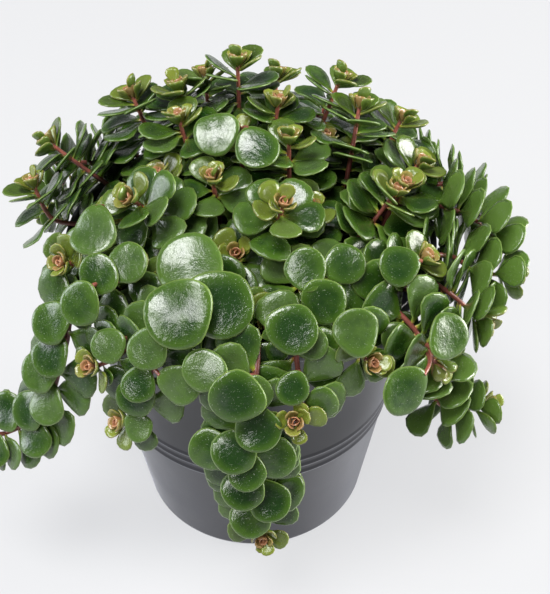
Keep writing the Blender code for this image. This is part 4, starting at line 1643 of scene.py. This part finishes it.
    def petiole(self, grown: GrownLeaf, base: np.ndarray) -> list[np.ndarray]:
        """The line of a broad leaf's stalk, from its stem to the inside of its blade.

        Args:
            grown: The leaf.
            base: Where its blade starts.

        Returns:
            The line's points.
        """
        _, along, normal = grown.axes
        blade = grown.leaf.width * BLADE_SWELL
        middle = (grown.point + base) / 2 + self.petiole_bow * grown.leaf.rise * normal
        inside = base + self.petiole_inside * blade * along - self.petiole_sunk * LEAF_THICKNESS * normal
        return [grown.point, middle, inside]

    def dress(self, shoot: Shoot, rings: np.ndarray, leaves: list[GrownLeaf]) -> bpy.types.Object:
        """Makes a shoot's finished piece.

        Args:
            shoot: The shoot.
            rings: Its stem's rings.
            leaves: Its leaves in their places.

        Returns:
            The piece.
        """
        stem = np.vstack([rings[:-3], rings[-1:] - self.tip_inset * unit(rings[-1] - rings[-3])])
        along = lengths_along(stem) / lengths_along(stem)[-1]
        points, edges = list(stem), [(at, at + 1) for at in range(len(stem) - 1)]
        girth = list(self.base_girth + (self.tip_girth - self.base_girth) * along)
        rising = list(along)
        rows = []
        tangents, _ = frames_along(rings)
        for grown in leaves:
            form, youth = self.form_of(grown)
            if grown.index != BROAD:
                tangent = tangents[np.argmin(np.linalg.norm(rings - grown.point, axis=1))]
                aslant = 1 - abs(tangent @ grown.axes[2])
                point = grown.point + self.base_girth * aslant * grown.axes[2]
                rows.append((point, grown.axes, form, grown.leaf.length * self.swell, youth))
                continue
            blade = grown.leaf.width * BLADE_SWELL
            base = np.array([0.0, grown.leaf.length - blade, grown.leaf.rise])
            base = grown.point + base @ grown.axes
            rows.append((base, grown.axes, form, blade, youth))
            start = len(points)
            points += self.petiole(grown, base)
            edges += [(start, start + 1), (start + 1, start + 2)]
            girth += self.petiole_girths
            rising += self.petiole_ripeness
        bud = list(LeafAge).index(LeafAge.BUD)
        for grown, youth in self.rosette(shoot, rings):
            rows.append((grown.point, grown.axes, bud, grown.leaf.length, youth))
        stems, count = len(points), len(rows)
        places, axes, forms, sizes, youths = zip(*rows)
        item = add_object(f"{shoot.name}_shoot", np.array([*points, *places]), [], edges)
        none = (0.0, 0.0, 0.0)
        for name, kind, values in (
            ("is_leaf", "BOOLEAN", [False] * stems + [True] * count),
            ("girth", "FLOAT", girth + [0.0] * count),
            ("rising", "FLOAT", rising + [0.0] * count),
            ("form", "INT", [0] * stems + [*forms]),
            ("size", "FLOAT", [0.0] * stems + [*sizes]),
            ("youth", "FLOAT", [0.0] * stems + [*youths]),
            ("reach", "FLOAT_VECTOR", [none] * stems + [tuple(along) for _, along, _ in axes]),
            ("out", "FLOAT_VECTOR", [none] * stems + [tuple(normal) for _, _, normal in axes]),
        ):
            add_values(item.data, name, kind, np.array(values))
        modifier = item.modifiers.new("shoot", "NODES")
        modifier.node_group = self.tree
        set_inputs(
            modifier,
            {
                "Leaf Forms": self.forms,
                "Stem Sides": self.stem_sides,
                "Stem Step": self.stem_step,
                "Seed": self.seed + len(shoot.name) + int(shoot.turn),
                "Leaf Finish": self.leaf_finish,
                "Stem Finish": self.stem_finish,
            },
        )
        settle(item)
        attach(item, "root")
        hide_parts(shoot.name)
        return item


# ---------------------------------------------------------------- pot and peat


def turned(profile: list[tuple[float, float]], sides: int) -> Solid:
    """Vertices and faces of a section turned about +Z. Its first and last points are on the axis.

    Args:
        profile: The section's radii and heights.
        sides: How many flats the round has.

    Returns:
        The vertices and faces.
    """
    vertices = [(0.0, 0.0, profile[0][1]), (0.0, 0.0, profile[-1][1])]
    rings = profile[1:-1]
    for radius, height in rings:
        for side in range(sides):
            angle = 2 * math.pi * side / sides
            vertices.append((radius * math.cos(angle), radius * math.sin(angle), height))
    faces = []
    last = 2 + (len(rings) - 1) * sides
    for side in range(sides):
        after = (side + 1) % sides
        faces.append((0, 2 + after, 2 + side))
        faces.append((1, last + side, last + after))
        for ring in range(len(rings) - 1):
            low = 2 + ring * sides
            high = low + sides
            faces.append((low + side, low + after, high + after, high + side))
    return np.array(vertices), faces


@dataclass
class NurseryPot:
    """The round tapering pot: one wall with a rolled lip, three fine beads and a rounded foot."""

    finish: bpy.types.Material
    wall: float = 0.0022
    floor: float = 0.003
    lip_width: float = 0.002
    lip_height: float = 0.006
    lip_flare: float = 0.9  # how far the lip's underside rounds in, over its width
    lip_crown: float = 0.5  # how high the lip's top arches, over half its width
    neck: float = 0.001  # how far below the lip the wall ends
    floor_corner: float = 0.002  # the rounding between the wall and the floor
    foot: float = 0.0022
    base_radius: float = POT_BASE_RADIUS
    bead_heights: tuple = (0.0475, 0.0515, 0.0555)
    bead_proud: float = 0.0005
    bead_half_height: float = 0.0014
    sides: int = 128

    def radius(self, height: float) -> float:
        """Outer radius of the wall at a height."""
        return self.base_radius + (POT_RIM_RADIUS - self.base_radius) * height / POT_HEIGHT

    def section(self) -> list[tuple[float, float]]:
        """The pot's section from under its middle, up the outside and down the inside.

        Returns:
            The section's radii and heights.
        """
        points = [(0.0, 0.0), (self.base_radius * 0.5, 0.0)]
        for step in range(7):
            turn = math.radians(90 * step / 6)
            points.append(
                (self.radius(0) - self.foot * (1 - math.sin(turn)), self.foot * (1 - math.cos(turn)))
            )
        for height in self.bead_heights:
            for step in range(9):
                rise = self.bead_half_height * (step / 4 - 1)
                proud = self.bead_proud * math.cos(math.pi / 2 * (step / 4 - 1)) ** 2
                points.append((self.radius(height + rise) + proud, height + rise))
        under = POT_HEIGHT - self.lip_height
        points.append((self.radius(under - self.neck), under - self.neck))
        points.append((self.radius(under) + 0.0002, under))
        outer = POT_RIM_RADIUS + self.lip_width
        for step in range(5):
            turn = math.radians(90 * step / 4)
            inset = self.lip_width * (1 - math.sin(turn)) * self.lip_flare
            points.append((outer - inset, under + self.lip_width * (1 - math.cos(turn))))
        top = (outer + POT_RIM_RADIUS - self.wall) / 2
        half = (outer - POT_RIM_RADIUS + self.wall) / 2
        for step in range(9):
            turn = math.radians(180 * step / 8)
            drop = half * self.lip_crown * (1 - math.sin(turn))
            points.append((top + half * math.cos(turn), POT_HEIGHT - drop))
        corner = self.floor + self.floor_corner
        points.append((self.radius(corner) - self.wall, corner))
        points.append((self.radius(self.floor) - self.wall - self.floor_corner, self.floor))
        points.append((0.0, self.floor))
        return points

    def build(self) -> bpy.types.Object:
        """The pot's piece, which stands for the frame's pot.

        Returns:
            The piece.
        """
        item = add_object("pot_shell", *turned(self.section(), self.sides))
        item.data.set_sharp_from_angle(angle=math.radians(60))
        item.data.materials.append(self.finish)
        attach(item, "root")
        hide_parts("pot")
        return item


@dataclass
class PeatBed:
    """The peat that fills the pot: an uneven crust with crumbs and a few grains of perlite."""

    peat: bpy.types.Material
    perlite: bpy.types.Material
    sides: int = 72
    rings: int = 18
    swell: float = 0.0014  # how far the crust rises and falls
    lump: float = 0.009  # how wide its lumps are
    level_from: float = 0.985  # where the crust is level again, as a share of its radius
    below_top: float = 0.001  # how far below the rim of the crust its upper side may reach
    below_crumbs: float = 0.0008  # the same for where crumbs lie
    crumbs_per_square_metre: float = 60000.0
    seed: int = 11

    def crust(self) -> bpy.types.Object:
        """The closed body of peat with its uneven top.

        Returns:
            The object.
        """
        low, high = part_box("soil")
        edge = high.x
        top = POT_HEIGHT - SOIL_BELOW_RIM
        bottom_radius = edge - (top - low.z) * POT_TAPER
        profile = [(0.0, low.z), (bottom_radius, low.z)]
        for ring in range(self.rings + 1):
            radius = edge * (1 - ring / (self.rings + 1))
            profile.append((radius, soil_top(radius)))
        profile.append((0.0, soil_top(0.0)))
        vertices, faces = turned(profile, self.sides)
        for point in vertices:
            reach = math.hypot(point[0], point[1])
            if point[2] > top - self.below_top and reach < edge * self.level_from:
                x, y = point[0] / self.lump, point[1] / self.lump
                lumps = math.sin(x + 1.7 * math.sin(0.7 * y)) * math.cos(1.1 * y + math.sin(1.3 * x))
                fine = math.sin(3.1 * x + 0.5) * math.sin(2.7 * y + 1.1)
                point[2] += self.swell * (0.6 * lumps + 0.4 * fine)
        item = add_object("peat_bed", vertices, faces)
        item.data.materials.append(self.peat)
        return item

    def crumb(self, name: str, squash: float) -> bpy.types.Object:
        """A lump of a few faces, about one unit across, to be scattered.

        Args:
            name: Its name.
            squash: Its height, as a share of its width.

        Returns:
            The object, which isn't in the scene.
        """
        body = bmesh.new()
        bmesh.ops.create_icosphere(body, subdivisions=1, radius=0.5)
        for corner in body.verts:
            wobble = 1 + 0.28 * math.sin(9 * corner.co.x + 4 * corner.co.y) * math.cos(7 * corner.co.z)
            corner.co = corner.co * wobble
            corner.co.z *= squash
        mesh = bpy.data.meshes.new(name)
        body.to_mesh(mesh)
        body.free()
        mesh.shade_smooth()
        return bpy.data.objects.new(name, mesh)

    def build_tree(self) -> bpy.types.NodeTree:
        """The node tree that scatters crumbs over the crust's upper side.

        Returns:
            The tree.
        """
        tree, given = new_tree(
            "crumbs",
            {
                "Crumb": "Object",
                "Density": "Float",
                "Smallest": "Float",
                "Largest": "Float",
                "Lowest": "Float",
                "Seed": "Int",
                "Finish": "Material",
            },
        )
        place = add_node(tree, "GeometryNodeInputPosition")
        parts = add_node(tree, "ShaderNodeSeparateXYZ", {0: place.outputs[0]})
        above = add_node(
            tree,
            "FunctionNodeCompare",
            {0: parts.outputs["Z"], 1: given["Lowest"]},
            operation="GREATER_THAN",
        )
        points = add_node(
            tree,
            "GeometryNodeDistributePointsOnFaces",
            {
                "Mesh": given["Geometry"],
                "Selection": above.outputs[0],
                "Density": given["Density"],
                "Seed": given["Seed"],
            },
        )
        size = add_node(
            tree,
            "FunctionNodeRandomValue",
            {2: given["Smallest"], 3: given["Largest"], "Seed": given["Seed"]},
            data_type="FLOAT",
        )
        turn = add_node(
            tree,
            "FunctionNodeRandomValue",
            {0: (0.0, 0.0, 0.0), 1: (6.28, 6.28, 6.28), "Seed": given["Seed"]},
            data_type="FLOAT_VECTOR",
        )
        euler = add_node(tree, "FunctionNodeEulerToRotation", {0: turn.outputs[0]})
        shape = add_node(tree, "GeometryNodeObjectInfo", {"Object": given["Crumb"]})
        scattered = add_node(
            tree,
            "GeometryNodeInstanceOnPoints",
            {
                "Points": points.outputs["Points"],
                "Instance": shape.outputs["Geometry"],
                "Rotation": euler.outputs[0],
                "Scale": size.outputs[1],
            },
        )
        whole = add_node(tree, "GeometryNodeRealizeInstances", {"Geometry": scattered.outputs[0]})
        dressed = add_node(
            tree, "GeometryNodeSetMaterial", {"Geometry": whole.outputs[0], "Material": given["Finish"]}
        )
        add_node(tree, "NodeGroupOutput", {"Geometry": dressed.outputs[0]})
        return tree

    def scatter(
        self, name: str, crust: bpy.types.Object, tree: bpy.types.NodeTree, inputs: dict
    ) -> bpy.types.Object:
        """A piece of crumbs scattered over the crust.

        Args:
            name: The piece's name.
            crust: The peat.
            tree: The node tree that scatters.
            inputs: Its inputs.

        Returns:
            The piece.
        """
        item = bpy.data.objects.new(name, crust.data.copy())
        bpy.context.scene.collection.objects.link(item)
        modifier = item.modifiers.new("crumbs", "NODES")
        modifier.node_group = tree
        set_inputs(modifier, {"Lowest": POT_HEIGHT - SOIL_BELOW_RIM - self.below_crumbs, **inputs})
        settle(item)
        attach(item, "root")
        return item

    def build(self) -> list[bpy.types.Object]:
        """The peat bed, its crumbs and its perlite.

        Returns:
            The pieces.
        """
        crust = self.crust()
        tree = self.build_tree()
        lump = self.crumb("crumb_form", 0.7)
        density = self.crumbs_per_square_metre
        scattered = [
            self.scatter(
                name,
                crust,
                tree,
                {
                    "Crumb": lump,
                    "Density": density * share,
                    "Smallest": smallest,
                    "Largest": largest,
                    "Seed": self.seed + later,
                    "Finish": finish,
                },
            )
            for name, share, smallest, largest, later, finish in (
                ("peat_crumbs", 1.0, 0.0008, 0.0030, 0, self.peat),
                ("perlite_grains", 0.05, 0.0010, 0.0024, 5, self.perlite),
            )
        ]
        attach(crust, "root")
        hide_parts("soil")
        bpy.data.objects.remove(lump)
        return [crust, *scattered]


# ---------------------------------------------------------------- studio


@dataclass
class Studio:
    """A plain pale floor, a large soft light overhead, soft fills, and the camera."""

    floor_half: float = 4.0
    floor_colour: str = "#646464"
    floor_glow: str = "#f2f3f6"
    floor_glow_strength: float = 0.68
    air_colour: str = "#f6f8fb"
    air_strength: float = 0.17
    # the lamps: name, place, size, watts, colour
    lamps: tuple = (
        ("overhead", (-0.36, -0.6, 2.35), 1.0, 84.0, "#ffffff"),
        ("front_window", (-0.8, -1.6, 1.75), 0.6, 23.0, "#ffffff"),
        ("left_window", (-2.0, 0.2, 0.55), 1.1, 30.0, "#f4f8ff"),
        ("right_window", (1.8, 0.22, 0.45), 1.1, 84.0, "#fffdf8"),
    )
    lamps_aim: tuple = (0.0, 0.0, 0.1)
    lens: float = 54.5
    sensor_width: float = 36.0
    camera_place: tuple = (0.0078, -0.2386, 0.2856)
    camera_tilt: float = 49.95

    def build(self) -> None:
        """Makes the floor, the lights, the air and the camera."""
        self.build_floor()
        self.build_lamps()
        self.build_camera()
        world = bpy.data.worlds.new("studio_air")
        world.use_nodes = True
        air = world.node_tree.nodes["Background"]
        connect(world.node_tree, air, {"Color": linear(self.air_colour), "Strength": self.air_strength})
        bpy.context.scene.world = world
        bpy.context.scene.view_settings.view_transform = "Standard"

    def build_floor(self) -> None:
        """The floor: pale, with a little light of its own, so that it stays even to the edges."""
        half = self.floor_half
        corners = np.array([(-half, -half, 0.0), (half, -half, 0.0), (half, half, 0.0), (-half, half, 0.0)])
        floor = add_object("floor", corners, [(0, 1, 2, 3)])
        material, tree, shader = new_material("pale_floor")
        surface = {
            "Base Color": linear(self.floor_colour),
            "Roughness": 0.7,
            "Specular IOR Level": 0.1,
            "Emission Color": linear(self.floor_glow),
            "Emission Strength": self.floor_glow_strength,
        }
        connect(tree, shader, surface)
        floor.data.materials.append(material)

    def build_lamps(self) -> None:
        """The square soft lamps, each turned to the plant."""
        for name, place, size, watts, colour in self.lamps:
            light = bpy.data.lights.new(name, "AREA")
            light.shape, light.size, light.energy = "SQUARE", size, watts
            light.color = linear(colour)[:3]
            lamp = bpy.data.objects.new(name, light)
            lamp.location = place
            aim = Vector(self.lamps_aim) - Vector(place)
            lamp.rotation_euler = aim.to_track_quat("-Z", "Y").to_euler()
            bpy.context.scene.collection.objects.link(lamp)

    def build_camera(self) -> None:
        """The camera, which looks down at the plant from the front."""
        camera = bpy.data.cameras.new("camera")
        camera.lens = self.lens
        camera.sensor_width = self.sensor_width
        camera.clip_start = 0.01
        holder = bpy.data.objects.new("camera", camera)
        holder.location = self.camera_place
        holder.rotation_euler = (math.radians(self.camera_tilt), 0.0, 0.0)
        bpy.context.scene.collection.objects.link(holder)
        bpy.context.scene.camera = holder


# ---------------------------------------------------------------- the whole


def main() -> None:
    """Builds every piece in order and reports it."""
    logging.basicConfig(level=logging.INFO, format="%(name)s: %(message)s")
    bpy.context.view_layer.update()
    pot = NurseryPot(MouldedPlastic().build()).build()
    log.info("%s: %d faces", pot.name, len(pot.data.polygons))
    for piece in PeatBed(PottingPeat().build(), Perlite().build()).build():
        log.info("%s: %d faces", piece.name, len(piece.data.polygons))
    plant = Garden().grow()
    log.info("%d leaves stand where the frame has them", sum(len(leaves) for _, leaves in plant.values()))
    Garden(gap=FILL_GAP).fill(plant)
    log.info("%d leaves with those that fill the gaps", sum(len(leaves) for _, leaves in plant.values()))
    dresser = ShootDresser(LivingLeaf().build(), StemSkin().build())
    for shoot in SHOOTS:
        piece = dresser.dress(shoot, *plant[shoot.name])
        log.info("%s: %d leaves, %d faces", piece.name, len(plant[shoot.name][1]), len(piece.data.polygons))
    for form in list(dresser.forms.objects):
        bpy.data.objects.remove(form)
    bpy.data.collections.remove(dresser.forms)
    Studio().build()


if __name__ == "__main__":
    main()
